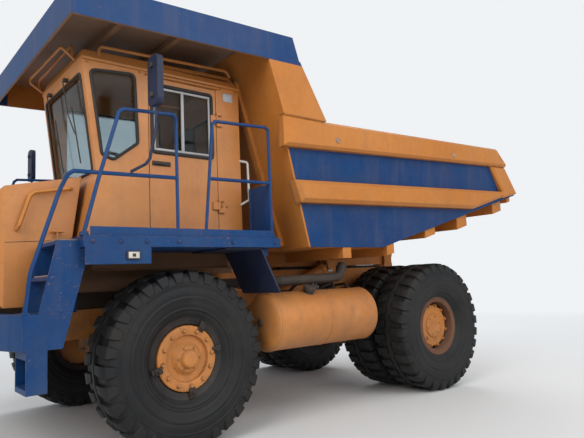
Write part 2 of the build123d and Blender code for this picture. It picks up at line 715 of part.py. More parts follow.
pane_depth = 20
with BuildPart() as cab_glass:
    side_plate([(screen_y(screen_low_z) + pane_depth, screen_low_z), (screen_y(screen_top_z) + pane_depth,
                                                                      screen_top_z),
                (screen_y(screen_top_z) + pane_depth + glass_thickness, screen_top_z),
                (screen_y(screen_low_z) + pane_depth + glass_thickness, screen_low_z)], cab_right_x,
               cab_left_x)
    add(screen_opening.part, mode=Mode.INTERSECT)
    side_plate(quarter_window, cab_left_x - pane_depth - glass_thickness, cab_left_x - pane_depth,
               corner=window_corner)
    side_plate(window_outline(right_window), cab_right_x + pane_depth,
               cab_right_x + pane_depth + glass_thickness,
               corner=window_corner)
    block(rear_window[0], rear_window[1], cab_rear_y - pane_depth - glass_thickness, cab_rear_y - pane_depth,
          rear_window[2], rear_window[3])
save(cab_glass, "cab_glass")

# Door on two hinges at its rear edge
with BuildPart() as cab_door:
    block(cab_left_x - cab_wall, cab_left_x, door_front_y + door_gap, door_rear_y - door_gap,
          door_low_z + door_gap,
          door_top_z - door_gap)
    side_plate(window_outline(door_window), cab_left_x - cab_wall - 1, cab_left_x + 1, Mode.SUBTRACT,
               window_corner)
    for z in hinge_heights:
        block(cab_left_x, hinge_x, hinge_y - 70, hinge_y, z - hinge_half, z + hinge_half)
        bar((hinge_x, hinge_y, z - hinge_half), (hinge_x, hinge_y, z + hinge_half), hinge_barrel)
        rod((hinge_x, hinge_y, z - hinge_half), (hinge_x, hinge_y, z + hinge_half), hinge_pin + pin_clearance,
            mode=Mode.SUBTRACT)
save(cab_door, "cab_door")
with BuildPart() as door_glass:
    side_plate(window_outline(door_window), cab_left_x - pane_depth - glass_thickness,
               cab_left_x - pane_depth,
               corner=window_corner)
save(door_glass, "cab_door_glass")

# Seat: a pedestal, a bevelled cushion and a backrest with a headrest
cab_floor_z = deck_z + cab_wall
seat_x = 800
seat_y = front_axle_y + 145
cushion_low_z = cab_floor_z + 350
cushion_top_z = cab_floor_z + 480
back_top_z = cab_floor_z + 1080
with BuildPart() as cushion:
    block(seat_x - 250, seat_x + 250, seat_y - 270, seat_y + 250, cushion_low_z, cushion_top_z)
    chamfer(cushion.faces().sort_by(Axis.Z)[-1].edges(), length=40)
with BuildPart() as seat:
    block(seat_x - 150, seat_x + 150, seat_y - 150, seat_y + 150, cab_floor_z, cushion_low_z)
    add(cushion.part)
    side_plate([(seat_y + 140, cushion_top_z - 40), (seat_y + 250, cushion_top_z - 40), (seat_y + 360,
                                                                                         back_top_z - 60),
                (seat_y + 330, back_top_z), (seat_y + 280, back_top_z)], seat_x - 235, seat_x + 235)
    side_plate([(seat_y + 290, back_top_z - 10), (seat_y + 345, back_top_z - 10), (seat_y + 370,
                                                                                   back_top_z + 170),
                (seat_y + 310, back_top_z + 170)], seat_x - 130, seat_x + 130)
save(seat, "seat")

# Dashboard with the steering column and wheel
dash_front_y = cab_waist_y + cab_wall + 20
dash_rear_y = dash_front_y + 240
dash_top_z = cab_floor_z + 520
wheel_radius = 215
wheel_place = (seat_x, seat_y - 430, cab_floor_z + 760)
with BuildPart() as controls:
    side_plate([(dash_front_y, cab_floor_z), (dash_front_y, dash_top_z), (dash_rear_y - 80, dash_top_z),
                (dash_rear_y, dash_top_z - 90), (dash_rear_y, cab_floor_z)], cab_right_x + cab_wall,
               cab_left_x - cab_wall)
    bar((seat_x, dash_rear_y - 60, dash_top_z - 40), wheel_place, 30)
    with BuildSketch(Plane(origin=wheel_place, x_dir=(1, 0, 0), z_dir=(0, 0.55, 0.83))) as wheel_section:
        RegularPolygon(wheel_radius, 16)
        RegularPolygon(wheel_radius - 28, 16, mode=Mode.SUBTRACT)
        Rectangle(2 * wheel_radius - 30, 34)
    extrude(wheel_section.sketch, amount=24)
save(controls, "controls")

# Mirrors in rounded housings, on bent arms from the handrails
mirror_x = rail_x + 160
mirror_y = front_axle_y - 455
mirror_low_z = 2990
mirror_top_z = 3430
mirror_width = 190
mirror_depth = 55
arm_radius_small = 13
with BuildPart() as mirrors:
    for name, side in sides:
        with BuildSketch(Plane.XZ.offset(-mirror_y - mirror_depth / 2)) as housing:
            with Locations((side * mirror_x, (mirror_low_z + mirror_top_z) / 2)):
                RectangleRounded(mirror_width, mirror_top_z - mirror_low_z, 60)
        extrude(housing.sketch, amount=mirror_depth)
        tube_run([(side * (rail_x + tube), gate_front_y - 436, 2432), (side * (mirror_x - 20), mirror_y - 60,
                                                                       2500),
                  (side * mirror_x, mirror_y, 2800), (side * mirror_x, mirror_y, mirror_low_z + 40)],
                 arm_radius_small, 30)
save(mirrors, "mirrors")

# Fuel tank on the left and hydraulic tank on the right, each a drum with dished ends on two cradle brackets
tank_x = 1450
tank_z = 1048
tank_radius = 303
tank_front_y = front_axle_y + 920
tank_rear_y = rear_axle_y - 1130
tank_dish = 30
tank_rim = 110
tank_flats = 28
cradle_stations = (tank_front_y + 250, tank_rear_y - 350)
for name, side in (("fuel_tank", 1), ("hydraulic_tank", -1)):
    with BuildPart() as tank:
        with BuildSketch(Plane.XZ.offset(-tank_front_y)):
            with Locations((side * tank_x, tank_z)):
                RegularPolygon(tank_radius, tank_flats)
        extrude(amount=tank_front_y - tank_rear_y)
        for index in (0, -1):
            tank_end = tank.faces().sort_by(Axis.Y)[index]
            chamfer(tank_end.edges(), length=tank_rim, length2=tank_dish, reference=tank_end)
        for y in cradle_stations:
            block(side * rail_outer_x, side * (tank_x - 200), y - 40, y + 40, tank_z - 20, tank_z + 120)
    save(tank, name)

# Exhaust pipe from the engine bay to the body's heating duct
pipe_radius = 55
pipe_x = 1400
with BuildPart() as exhaust:
    tube_run([(pipe_x / 2, front_axle_y + 815, 1465), (pipe_x, front_axle_y + 1195, 1465),
              (pipe_x, tank_rear_y - 305, 1484), (pipe_x, tank_rear_y - 230, 1640)], pipe_radius, 35,
             flats=12)
save(exhaust, "exhaust_pipe")

# Mud guard panel behind each front wheel
guard_outline = [(front_axle_y + 302, deck_low_z - 3), (front_axle_y + 717, deck_low_z - 3),
                 (front_axle_y + 930, 1359), (front_axle_y + 917, 1352), (front_axle_y + 705, 1785),
                 (front_axle_y + 302, 1785)]
with BuildPart() as guards:
    for name, side in sides:
        side_plate(guard_outline, side * 1150, side * 1800)
save(guards, "mud_guards")

# Lamps: headlamps in the nose, side lamps on the deck skirts, tail lamps on brackets beside the hinge
headlamp_places = (800, 1010)
headlamp_z = 1600
tail_lamp_y = pivot_y + 43
tail_lamp_z = 1290
tail_lamp_height = 80
with BuildPart() as lamps:
    for name, side in sides:
        for x in headlamp_places:
            with BuildSketch(Plane.XZ.offset(-nose_front_y)) as lamp:
                with Locations((side * x, headlamp_z)):
                    RegularPolygon(85, 20)
            extrude(lamp.sketch, amount=25)
        block(side * deck_half_width, side * (deck_half_width + 22), front_axle_y - 682, front_axle_y - 571,
              1698, 1764)
        block(side * rail_outer_x, side * (rail_outer_x + 180), tail_lamp_y, tail_lamp_y + 12, tail_lamp_z,
              tail_lamp_z + tail_lamp_height)
        block(side * (rail_outer_x + 60), side * (rail_outer_x + 180), tail_lamp_y + 12, tail_lamp_y + 50,
              tail_lamp_z,
              tail_lamp_z + tail_lamp_height)
save(lamps, "lamps")

# Air cleaner drum on the right deck, with its bevelled shoulder and intake cap
cleaner_x = -(deck_half_width - 600)
cleaner_y = front_axle_y - 305
# Columns: foot above the deck, top above the deck, radius, bevel
cleaner_steps = ((0, 620, 230, 40), (620, 700, 110, 5), (700, 800, 150, 30))
with BuildPart() as air_cleaner:
    for low, high, radius, bevel in cleaner_steps:
        with BuildSketch(Plane.XY.offset(deck_z + low)) as section:
            with Locations((cleaner_x, cleaner_y)):
                RegularPolygon(radius, hub_flats)
        extrude(amount=high - low)
        chamfer(air_cleaner.faces().sort_by(Axis.Z)[-1].edges(), length=bevel)
save(air_cleaner, "air_cleaner")

# Tipping body. The tub is the side outline and the end outline crossed, less a smaller pair.
floor_slope = (floor_tail_z - body_floor_z) / (tail_y - floor_kink_y)
front_lean = (front_wall_low_y - front_wall_top_y) / (front_wall_top_z - body_floor_z)


def wall_y(z):
    """Front face of the body's front wall at a height."""
    return front_wall_low_y - front_lean * (z - body_floor_z)


tub_side = [(front_wall_low_y, body_floor_z), (wall_y(rail_front_top_z), rail_front_top_z),
            (rail_front_y, rail_front_top_z), (rail_rear_y, rail_rear_top_z), (tail_shoulder_y,
                                                                               tail_shoulder_z),
            (tail_y, tail_tip_z), (tail_y, floor_tail_z), (floor_kink_y, body_floor_z)]
tub_end = [(-side_low_x, body_floor_z), (side_low_x, body_floor_z), (side_top_x, rail_front_top_z),
           (side_top_x, rail_rear_top_z), (-side_top_x, rail_rear_top_z), (-side_top_x, rail_front_top_z)]
inside_floor_z = body_floor_z + floor_thickness
beyond = 4300
inside_side = [(wall_y(inside_floor_z) + wall, inside_floor_z), (wall_y(front_wall_top_z) + wall,
                                                                 front_wall_top_z),
               (beyond, front_wall_top_z), (beyond, inside_floor_z + floor_slope * (beyond - floor_kink_y)),
               (floor_kink_y, inside_floor_z)]
inside_end = [(-side_low_x + wall, body_floor_z), (side_low_x - wall, body_floor_z),
              (side_top_x - wall, rail_front_top_z), (side_top_x - wall, front_wall_top_z),
              (-side_top_x + wall, front_wall_top_z), (-side_top_x + wall, rail_front_top_z)]


def crossed(side_outline, end_outline):
    """The solid common to a (y, z) outline run across and an (x, z) outline run lengthways."""
    with BuildPart() as crossing:
        side_plate(side_outline, -beyond, beyond)
        with BuildSketch(Plane.XZ.offset(-beyond)) as section:
            Polygon(*end_outline, align=None)
        extrude(section.sketch, amount=2 * beyond, mode=Mode.INTERSECT)
    return crossing.part


front_wall_side = [(wall_y(body_floor_z), body_floor_z), (wall_y(rail_front_top_z), rail_front_top_z),
                   (wall_y(rail_front_top_z) + wall, rail_front_top_z), (wall_y(body_floor_z) + wall,
                                                                         body_floor_z)]
load_side = [(-beyond, body_floor_z - 400), (-beyond, front_wall_top_z), (beyond, front_wall_top_z),
             (beyond, body_floor_z - 400)]
envelope = crossed(tub_side, tub_end)
front_wall = crossed(front_wall_side, tub_end)
load_space = crossed(inside_side, inside_end)
between_sides = crossed(load_side, inside_end)
with BuildPart() as body_floor:
    add(envelope)
    add(between_sides, mode=Mode.INTERSECT)
    add(load_space, mode=Mode.SUBTRACT)
    add(front_wall, mode=Mode.SUBTRACT)
save(body_floor, "body_floor")

# Side walls with their bevelled top rails, stiffening bands and tail posts. These are made too deep and
# cut back to the wall.
trim_root_x = side_low_x - 45
rail_lip_z = 2835
rail_outline_side = [(wall_y(rail_lip_z) - 90, rail_lip_z), (wall_y(rail_front_top_z) + 8, rail_front_top_z),
                     (rail_front_y, rail_front_top_z), (rail_rear_y, rail_rear_top_z),
                     (tail_shoulder_y, tail_shoulder_z), (tail_shoulder_y - 20, 3010), (tail_y - 665, 3000)]
band_outline = [(wall_y(2500) - 49, 2500), (wall_y(2270) - 39, 2270), (tail_y - 1215, 2350), (tail_y - 435,
                                                                                              2560),
                (tail_y - 435, 2640)]
tail_outline = [(tail_y - 725, 3000), (tail_y - 350, 3010), (tail_y - 50, 2630), (tail_y - 435, 2545),
                (tail_y - 442, 2640)]
# Columns: outline, outer face, bevel
side_trim = ((rail_outline_side, body_half_width, 30), (band_outline, body_half_width - 25, 38),
             (tail_outline, body_half_width - 30, 25))


def bevelled_plate(outline, x0, x1, bevel):
    """A thick plate whose outer edges are bevelled, as a separate solid."""
    with BuildPart() as plate:
        side_plate(outline, x0, x1)
        chamfer(plate.faces().sort_by(Axis.X)[-1].edges(), length=bevel)
    return plate.part


with BuildPart() as body_sides:
    for outline, outer_x, bevel in side_trim:
        add(bevelled_plate(outline, trim_root_x, outer_x, bevel))
    mirror(about=Plane.YZ)
    add(envelope)
    add(between_sides, mode=Mode.SUBTRACT)
    add(front_wall, mode=Mode.SUBTRACT)
save(body_sides, "body_sides")

# Front wall of the body, carried up to the canopy over the cab, with its deep fascia and shoulder plates
canopy_top_z = canopy_low_z + canopy_fascia
canopy_rear_low_z = canopy_low_z + canopy_rise * (canopy_tip_y - canopy_front_y)
fascia_lean = 90
canopy_plate_outline = [(canopy_front_y, canopy_low_z), (canopy_tip_y, canopy_rear_low_z),
                        (canopy_tip_y - fascia_lean, canopy_rear_low_z + canopy_fascia), (canopy_front_y,
                                                                                          canopy_top_z)]
canopy_inside = [(canopy_front_y + wall, canopy_low_z - 100), (canopy_tip_y + 10, canopy_rear_low_z - 100),
                 (canopy_tip_y + 10, canopy_rear_low_z + canopy_fascia - canopy_plate),
                 (canopy_front_y + wall, canopy_top_z - canopy_plate)]
upper_wall_top_z = canopy_rear_low_z + 20
right_slope_x = -1150
shoulder_inner_x = body_half_width - 130
shoulder_depth = 110
shoulder_top_z = canopy_rear_low_z + 40
with BuildPart() as upper_wall:
    side_plate([(wall_y(rail_front_top_z), rail_front_top_z), (wall_y(canopy_top_z), canopy_top_z),
                (wall_y(canopy_top_z) + wall, canopy_top_z), (wall_y(rail_front_top_z) + wall,
                                                              rail_front_top_z)],
               right_slope_x, body_half_width)
    with BuildSketch(Plane.XZ.offset(-front_wall_low_y)) as section:
        Polygon((right_slope_x - 10, rail_front_top_z), (canopy_right_x, upper_wall_top_z),
                (canopy_right_x, canopy_top_z + 200), (right_slope_x - 10, canopy_top_z + 200), align=None)
    extrude(section.sketch, amount=front_wall_low_y - canopy_front_y, mode=Mode.SUBTRACT)
with BuildPart() as canopy:
    side_plate(canopy_plate_outline, canopy_right_x, body_half_width)
    side_plate(canopy_inside, canopy_right_x + wall, body_half_width - wall, mode=Mode.SUBTRACT)
    add(upper_wall.part)
    add(front_wall)
    side_plate([(wall_y(rail_front_top_z), rail_front_top_z), (wall_y(shoulder_top_z), shoulder_top_z),
                (canopy_tip_y, shoulder_top_z), (rail_front_y, rail_front_top_z)], body_half_width - wall,
               body_half_width)
    side_plate([(wall_y(rail_front_top_z), rail_front_top_z), (wall_y(shoulder_top_z), shoulder_top_z),
                (wall_y(shoulder_top_z) + shoulder_depth, shoulder_top_z),
                (wall_y(rail_front_top_z) + shoulder_depth, rail_front_top_z)], shoulder_inner_x,
               body_half_width)
save(canopy, "body_canopy")

# Body underframe: two sills over the rails with the hinge lugs, the cross beams and the hoist brackets
sill_inner_x = 330
sill_outer_x = 450
hinge_lug_radius = 90
# Outer and inner hinge lugs. Columns: near x, far x
hinge_lugs = ((rail_outer_x + 10, 500), (270, rail_inner_x - 10))
beam_end_x = side_low_x - 5
hoist_eye_y = pivot_y - 1355
hoist_eye_z = 1640
# Cross beams from front to rear. Columns: middle, width, depth, inner end of the outer spans
beam_table = ((front_wall_low_y + 570, 130, 120, hoist_x + 105), (hoist_eye_y - 10, 130, 120, hoist_x + 105),
              (rear_axle_y - 65, 215, 100, sill_outer_x), (pivot_y + 165, 235, 165, sill_outer_x),
              (tail_y - 405, 235, 160, sill_outer_x), (tail_y - 55, 90, 80, sill_outer_x))


def floor_z(y):
    """Underside of the body floor."""
    return body_floor_z + floor_slope * max(0, y - floor_kink_y)


with BuildPart() as underframe:
    for name, side in sides:
        side_plate([(front_wall_low_y + 120, sill_low_z), (front_wall_low_y + 120, body_floor_z),
                    (floor_kink_y, body_floor_z), (pivot_y + 295, floor_z(pivot_y + 295)), (pivot_y + 295,
                                                                                            2200),
                    (pivot_y + 105, sill_low_z)], side * sill_inner_x, side * sill_outer_x)
        block(side * hinge_lugs[1][0], side * hinge_lugs[0][1], pivot_y - 80, pivot_y + 80, sill_low_z,
              sill_low_z + 160)
        for near, far in hinge_lugs:
            bar((side * near, pivot_y, pivot_z), (side * far, pivot_y, pivot_z), hinge_lug_radius)
            side_plate([(pivot_y - hinge_lug_radius, pivot_z), (pivot_y - hinge_lug_radius, sill_low_z + 20),
                        (pivot_y + hinge_lug_radius, sill_low_z + 20), (pivot_y + hinge_lug_radius, pivot_z)],
                       side * near, side * far)
        rod((side * hinge_lugs[1][0], pivot_y, pivot_z), (side * hinge_lugs[0][1], pivot_y, pivot_z),
            pivot_pin_radius)
        for near, far in ((hoist_x - 85, hoist_x - 55), (hoist_x + 55, hoist_x + 85)):
            side_plate([(hoist_eye_y - 130, floor_z(0) + 5), (hoist_eye_y + 130, floor_z(hoist_eye_y + 130)),
                        (hoist_eye_y + 60, hoist_eye_z - 50), (hoist_eye_y - 60, hoist_eye_z - 50)],
                       side * near, side * far)
save(underframe, "body_underframe")

# Cross beams under the floor, each in spans between the sills, and the ribs of the front wall and canopy.
# Two of the beams stop clear of the hoists.
# Front wall ribs. Columns: middle x, top z
wall_ribs = ((-1300, rail_front_top_z), (-430, canopy_low_z), (430, canopy_low_z), (1300, canopy_low_z))
rib_half_width = 40
rib_depth = 50
rib_low_z = body_floor_z + 40
canopy_rib_depth = 60
# Canopy ribs, by distance behind its front edge
canopy_rib_stations = (550, 1150)
with BuildPart() as ribs:
    for station, width, depth, span_start in beam_table:
        y0 = station - width / 2
        y1 = station + width / 2
        section_outline = [(y0, floor_z(y0) - depth), (y0, floor_z(y0)), (y1, floor_z(y1)),
                           (y1, floor_z(y1) - depth)]
        side_plate(section_outline, -sill_inner_x, sill_inner_x)
        for name, side in sides:
            side_plate(section_outline, side * span_start, side * beam_end_x)
    for x, top in wall_ribs:
        side_plate([(wall_y(rib_low_z) - rib_depth, rib_low_z), (wall_y(rib_low_z), rib_low_z), (wall_y(top),
                                                                                                 top),
                    (wall_y(top) - rib_depth, top)], x - rib_half_width, x + rib_half_width)
    for distance in canopy_rib_stations:
        y = canopy_front_y + distance
        under = canopy_top_z - canopy_plate + canopy_rise * (distance - wall)
        side_plate([(y, under - canopy_rib_depth), (y, under), (y + 60, under + 60 * canopy_rise),
                    (y + 60, under - canopy_rib_depth)], canopy_right_x + wall, body_half_width - wall)
save(ribs, "body_ribs")

# Hoist cylinders: a barrel on a frame pin and a rod that slides in it, shown retracted
barrel_radius = 85
barrel_bore = 50
gland_length = 70
gland_radius = 95
piston_rod_radius = 45
eye_radius = 75
barrel_start = 80
barrel_end = 1295
rod_start = 100
hoist_length = ((hoist_eye_y - hoist_base_y) ** 2 + (hoist_eye_z - hoist_base_z) ** 2) ** 0.5
along_y = (hoist_eye_y - hoist_base_y) / hoist_length
along_z = (hoist_eye_z - hoist_base_z) / hoist_length


def hoist_point(x, distance):
    """A point on the hoist's axis, measured from its base pin."""
    return (x, hoist_base_y + distance * along_y, hoist_base_z + distance * along_z)


for name, side in sides:
    x = side * hoist_x
    with BuildPart() as barrel:
        bar(hoist_point(x, 40), hoist_point(x, barrel_end - gland_length), barrel_radius)
        bar(hoist_point(x, barrel_end - gland_length), hoist_point(x, barrel_end), gland_radius)
        bar((x - 65, hoist_base_y, hoist_base_z), (x + 65, hoist_base_y, hoist_base_z), eye_radius)
        rod(hoist_point(x, barrel_start), hoist_point(x, barrel_end + 1), barrel_bore, mode=Mode.SUBTRACT)
        rod((x - 90, hoist_base_y, hoist_base_z), (x + 90, hoist_base_y, hoist_base_z),
            base_pin_radius + pin_clearance, mode=Mode.SUBTRACT)
        for low, high in ((x - 95, x - 65), (x + 65, x + 95)):
            rod((low, hoist_base_y, hoist_base_z), (high, hoist_base_y, hoist_base_z), eye_radius,
                mode=Mode.SUBTRACT)
    save(barrel, f"hoist_barrel_{name}")
    with BuildPart() as hoist_rod:
        rod(hoist_point(x, rod_start), hoist_point(x, hoist_length), piston_rod_radius)
        bar((x - 45, hoist_eye_y, hoist_eye_z), (x + 45, hoist_eye_y, hoist_eye_z), eye_radius)
        rod((x - 46, hoist_eye_y, hoist_eye_z), (x + 46, hoist_eye_y, hoist_eye_z), 30, mode=Mode.SUBTRACT)
    save(hoist_rod, f"hoist_rod_{name}")
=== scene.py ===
# Looks for the mining dump truck. Row frame: +Z up, the front faces -Y, the left side is +X.
import math

import bmesh
import bpy
from mathutils import Matrix, Vector


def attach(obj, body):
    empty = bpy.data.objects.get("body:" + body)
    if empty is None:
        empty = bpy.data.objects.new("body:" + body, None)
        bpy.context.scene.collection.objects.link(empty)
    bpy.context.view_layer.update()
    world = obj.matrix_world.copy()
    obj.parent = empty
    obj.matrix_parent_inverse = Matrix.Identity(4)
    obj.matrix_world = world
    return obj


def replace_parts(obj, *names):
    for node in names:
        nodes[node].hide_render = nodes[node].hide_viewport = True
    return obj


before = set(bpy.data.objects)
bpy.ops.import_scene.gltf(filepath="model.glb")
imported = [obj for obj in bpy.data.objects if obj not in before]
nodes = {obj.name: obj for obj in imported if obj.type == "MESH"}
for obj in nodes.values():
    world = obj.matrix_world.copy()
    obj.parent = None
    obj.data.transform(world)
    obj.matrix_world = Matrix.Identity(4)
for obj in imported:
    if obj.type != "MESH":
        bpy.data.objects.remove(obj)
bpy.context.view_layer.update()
bpy.context.scene.view_settings.view_transform = "Standard"

# Camera
# It stands low beside the left front corner and looks back along the truck, a little upwards.
# The image is taken to be 584 x 438.
camera_place = Vector((6.189, -4.484, 1.473))
camera_yaw = 0.687213
camera_pitch = 0.109438
camera_roll = -0.0437175
image_width = 584
focal_pixels = 554.2
sensor_mm = 36
look = Vector((-math.cos(camera_yaw) * math.cos(camera_pitch),
               math.sin(camera_yaw) * math.cos(camera_pitch), math.sin(camera_pitch)))
level_right = look.cross(Vector((0, 0, 1))).normalized()
level_up = level_right.cross(look)
camera_right = math.cos(camera_roll) * level_right + math.sin(camera_roll) * level_up
camera_up = math.cos(camera_roll) * level_up - math.sin(camera_roll) * level_right
camera_data = bpy.data.cameras.new("camera")
camera_data.sensor_width = sensor_mm
camera_data.lens = focal_pixels * sensor_mm / image_width
camera = bpy.data.objects.new("camera", camera_data)
camera_turn = Matrix((camera_right, camera_up, -look)).transposed().to_4x4()
camera.matrix_world = Matrix.Translation(camera_place) @ camera_turn
bpy.context.collection.objects.link(camera)
bpy.context.scene.camera = camera

# Soft light and a pale floor
# Three large soft boxes and an even sky. Far from the truck the pale, matt floor fades into the
# backdrop, so that no horizon shows.
backdrop = (0.87, 0.89, 0.91, 1)
sky_colour = (0.90, 0.94, 1.0, 1)
sky_strength = 0.68
lamp_aim = Vector((0, 0, 1.5))
# Columns: name, place, size, power, colour
lamp_table = (
    ("key", (6, -11, 9), 7, 900, (1.0, 0.97, 0.92)),
    ("side", (12, 1, 7), 9, 750, (1.0, 1.0, 1.0)),
    ("back", (-6, 9, 10), 7, 800, (0.95, 0.98, 1.0)),
)


def put(tree, kind, sockets=None, **settings):
    """Add one node, set its properties, and set or link its sockets."""
    node = tree.nodes.new(kind)
    for key, value in settings.items():
        setattr(node, key, value)
    for socket, value in (sockets or {}).items():
        if isinstance(value, bpy.types.NodeSocket):
            tree.links.new(value, node.inputs[socket])
        else:
            node.inputs[socket].default_value = value
    return node


def own_place(tree):
    """A point's place in the truck's frame."""
    return put(tree, "ShaderNodeTexCoord").outputs["Object"]


def math_of(tree, operation, first, second=0.0, clamp=False):
    """The result of one Math node."""
    return put(tree, "ShaderNodeMath", {0: first, 1: second}, operation=operation, use_clamp=clamp).outputs[0]


def times(tree, first, second, clamp=False):
    """One value times another."""
    return math_of(tree, "MULTIPLY", first, second, clamp)


def spread(tree, value, low, high, to_low=0.0, to_high=1.0):
    """A value mapped from one range to another and held within it."""
    sockets = {"Value": value, "From Min": low, "From Max": high, "To Min": to_low, "To Max": to_high}
    return put(tree, "ShaderNodeMapRange", sockets).outputs[0]


def new_material(name, sockets):
    """A material with these values on its shader; returns it with its node tree and shader."""
    material = bpy.data.materials.new(name)
    material.use_nodes = True
    shader = material.node_tree.nodes["Principled BSDF"]
    for socket, value in sockets.items():
        shader.inputs[socket].default_value = value
    return material, material.node_tree, shader


def bumps(tree, shader, height, strength, distance, **more):
    """Raise the shader's surface by a height."""
    sockets = {"Height": height, "Strength": strength, "Distance": distance, **more}
    tree.links.new(put(tree, "ShaderNodeBump", sockets).outputs[0], shader.inputs["Normal"])


world = bpy.data.worlds.new("studio")
bpy.context.scene.world = world
world.use_nodes = True
sky = world.node_tree.nodes["Background"]
sky.inputs["Color"].default_value = sky_colour
sky.inputs["Strength"].default_value = sky_strength
seen = put(world.node_tree, "ShaderNodeBackground", {"Color": backdrop, "Strength": 1.0})
light_path = put(world.node_tree, "ShaderNodeLightPath")
world_mix = put(world.node_tree, "ShaderNodeMixShader",
                {0: light_path.outputs["Is Camera Ray"], 1: sky.outputs[0], 2: seen.outputs[0]})
world.node_tree.links.new(world_mix.outputs[0], world.node_tree.nodes["World Output"].inputs["Surface"])
for name, place, size, power, colour in lamp_table:
    lamp_data = bpy.data.lights.new(name, "AREA")
    lamp_data.size = size
    lamp_data.energy = power
    lamp_data.color = colour
    lamp = bpy.data.objects.new(name, lamp_data)
    lamp.location = place
    lamp.rotation_euler = (lamp_aim - Vector(place)).to_track_quat("-Z", "Y").to_euler()
    bpy.context.collection.objects.link(lamp)
floor_reach = 150
floor_corners = [(x * floor_reach, y * floor_reach, 0) for x, y in ((-1, -1), (1, -1), (1, 1), (-1, 1))]
floor_mesh = bpy.data.meshes.new("floor")
floor_mesh.from_pydata(floor_corners, [], [(0, 1, 2, 3)])
floor = bpy.data.objects.new("floor", floor_mesh)
bpy.context.collection.objects.link(floor)
floor_material, floor_tree, floor_shader = new_material(
    "floor", {"Base Color": (0.66, 0.66, 0.65, 1), "Roughness": 0.85})
floor_distance = put(floor_tree, "ShaderNodeVectorMath", {0: own_place(floor_tree)}, operation="LENGTH")
floor_fade = spread(floor_tree, floor_distance.outputs["Value"], 5, 15)
floor_path = put(floor_tree, "ShaderNodeLightPath")
floor_share = times(floor_tree, floor_fade, floor_path.outputs["Is Camera Ray"])
floor_glow = put(floor_tree, "ShaderNodeEmission", {"Color": backdrop, "Strength": 1.0})
floor_mix = put(floor_tree, "ShaderNodeMixShader",
                {0: floor_share, 1: floor_shader.outputs[0], 2: floor_glow.outputs[0]})
floor_tree.links.new(floor_mix.outputs[0], floor_tree.nodes["Material Output"].inputs["Surface"])
floor_mesh.materials.append(floor_material)

# Frame and running gear
# Welded box rails, cross tubes, axles and struts of steel plate and castings, painted orange over
# everything at the works and now dull, with road dirt thickest low down and on ledges.
orange = (0.46, 0.160, 0.027, 1)
orange_faded = (0.50, 0.196, 0.048, 1)
road_dirt = (0.130, 0.088, 0.058, 1)
old_primer = (0.16, 0.075, 0.040, 1)
# Inputs of the paint group. Columns: name, kind, plain value
paint_inputs = (
    ("Paint", "NodeSocketColor", orange),
    ("Faded", "NodeSocketColor", orange_faded),
    ("Dirt", "NodeSocketColor", road_dirt),
    ("Bare", "NodeSocketColor", old_primer),
    ("Dirt Amount", "NodeSocketFloat", 0.3),
    ("Low Dirt", "NodeSocketFloat", 0.4),
    ("Streaks", "NodeSocketFloat", 0.2),
    ("Wear", "NodeSocketFloat", 0.4),
    ("Plain Roughness", "NodeSocketFloat", 0.42),
)
paint_outputs = (
    ("Color", "NodeSocketColor"), ("Roughness", "NodeSocketFloat"), ("Height", "NodeSocketFloat"),
    ("Normal", "NodeSocketVector"),
)


def noise(tree, vector, scale, detail=4.0, roughness=0.6):
    """Noise along a vector."""
    sockets = {"Vector": vector, "Scale": scale, "Detail": detail, "Roughness": roughness}
    return put(tree, "ShaderNodeTexNoise", sockets).outputs[0]


def blend_colour(tree, share, first, second):
    """One colour fading into another."""
    return put(tree, "ShaderNodeMix", {0: share, 6: first, 7: second}, data_type="RGBA").outputs[2]


weathered = bpy.data.node_groups.new("weathered paint", "ShaderNodeTree")
for label, kind, value in paint_inputs:
    weathered.interface.new_socket(label, in_out="INPUT", socket_type=kind).default_value = value
for label, kind in paint_outputs:
    weathered.interface.new_socket(label, in_out="OUTPUT", socket_type=kind)
tree = weathered
given = put(tree, "NodeGroupInput").outputs
result = put(tree, "NodeGroupOutput").inputs
spots = put(tree, "ShaderNodeTexCoord").outputs
at = spots["Object"]
axes = put(tree, "ShaderNodeSeparateXYZ", {0: at})
facing = put(tree, "ShaderNodeSeparateXYZ", {0: spots["Normal"]})
# Fading in broad clouds, with a fine mottle
fading = spread(tree, noise(tree, at, 0.8, 3), 0.35, 0.68)
colour = blend_colour(tree, fading, given["Paint"], given["Faded"])
mottle = spread(tree, noise(tree, at, 13, 7, 0.68), 0.3, 0.7, 0.93, 1.06)
colour = put(tree, "ShaderNodeHueSaturation", {"Value": mottle, "Color": colour}).outputs[0]
# Dirt: streaks down upright faces, then patches, thicker on ledges and low down
stretched = put(tree, "ShaderNodeVectorMath", {0: at, 1: (8, 8, 0.45)}, operation="MULTIPLY").outputs[0]
upright = math_of(tree, "SUBTRACT", 1.0, math_of(tree, "ABSOLUTE", facing.outputs["Z"]))
streak = times(tree, spread(tree, noise(tree, stretched, 1.0, 5), 0.5, 0.8), upright)
colour = blend_colour(tree, times(tree, streak, given["Streaks"]), colour, given["Dirt"])
ledge = spread(tree, facing.outputs["Z"], 0.3, 0.95, 0.0, 0.55)
low_down = times(tree, spread(tree, axes.outputs["Z"], 1.7, 0.3), given["Low Dirt"])
patches = spread(tree, noise(tree, at, 2.4, 7, 0.7), 0.38, 0.72)
dirt = times(tree, math_of(tree, "ADD", patches, ledge), given["Dirt Amount"])
dirt = math_of(tree, "ADD", dirt, times(tree, low_down, patches), clamp=True)
colour = blend_colour(tree, dirt, colour, given["Dirt"])
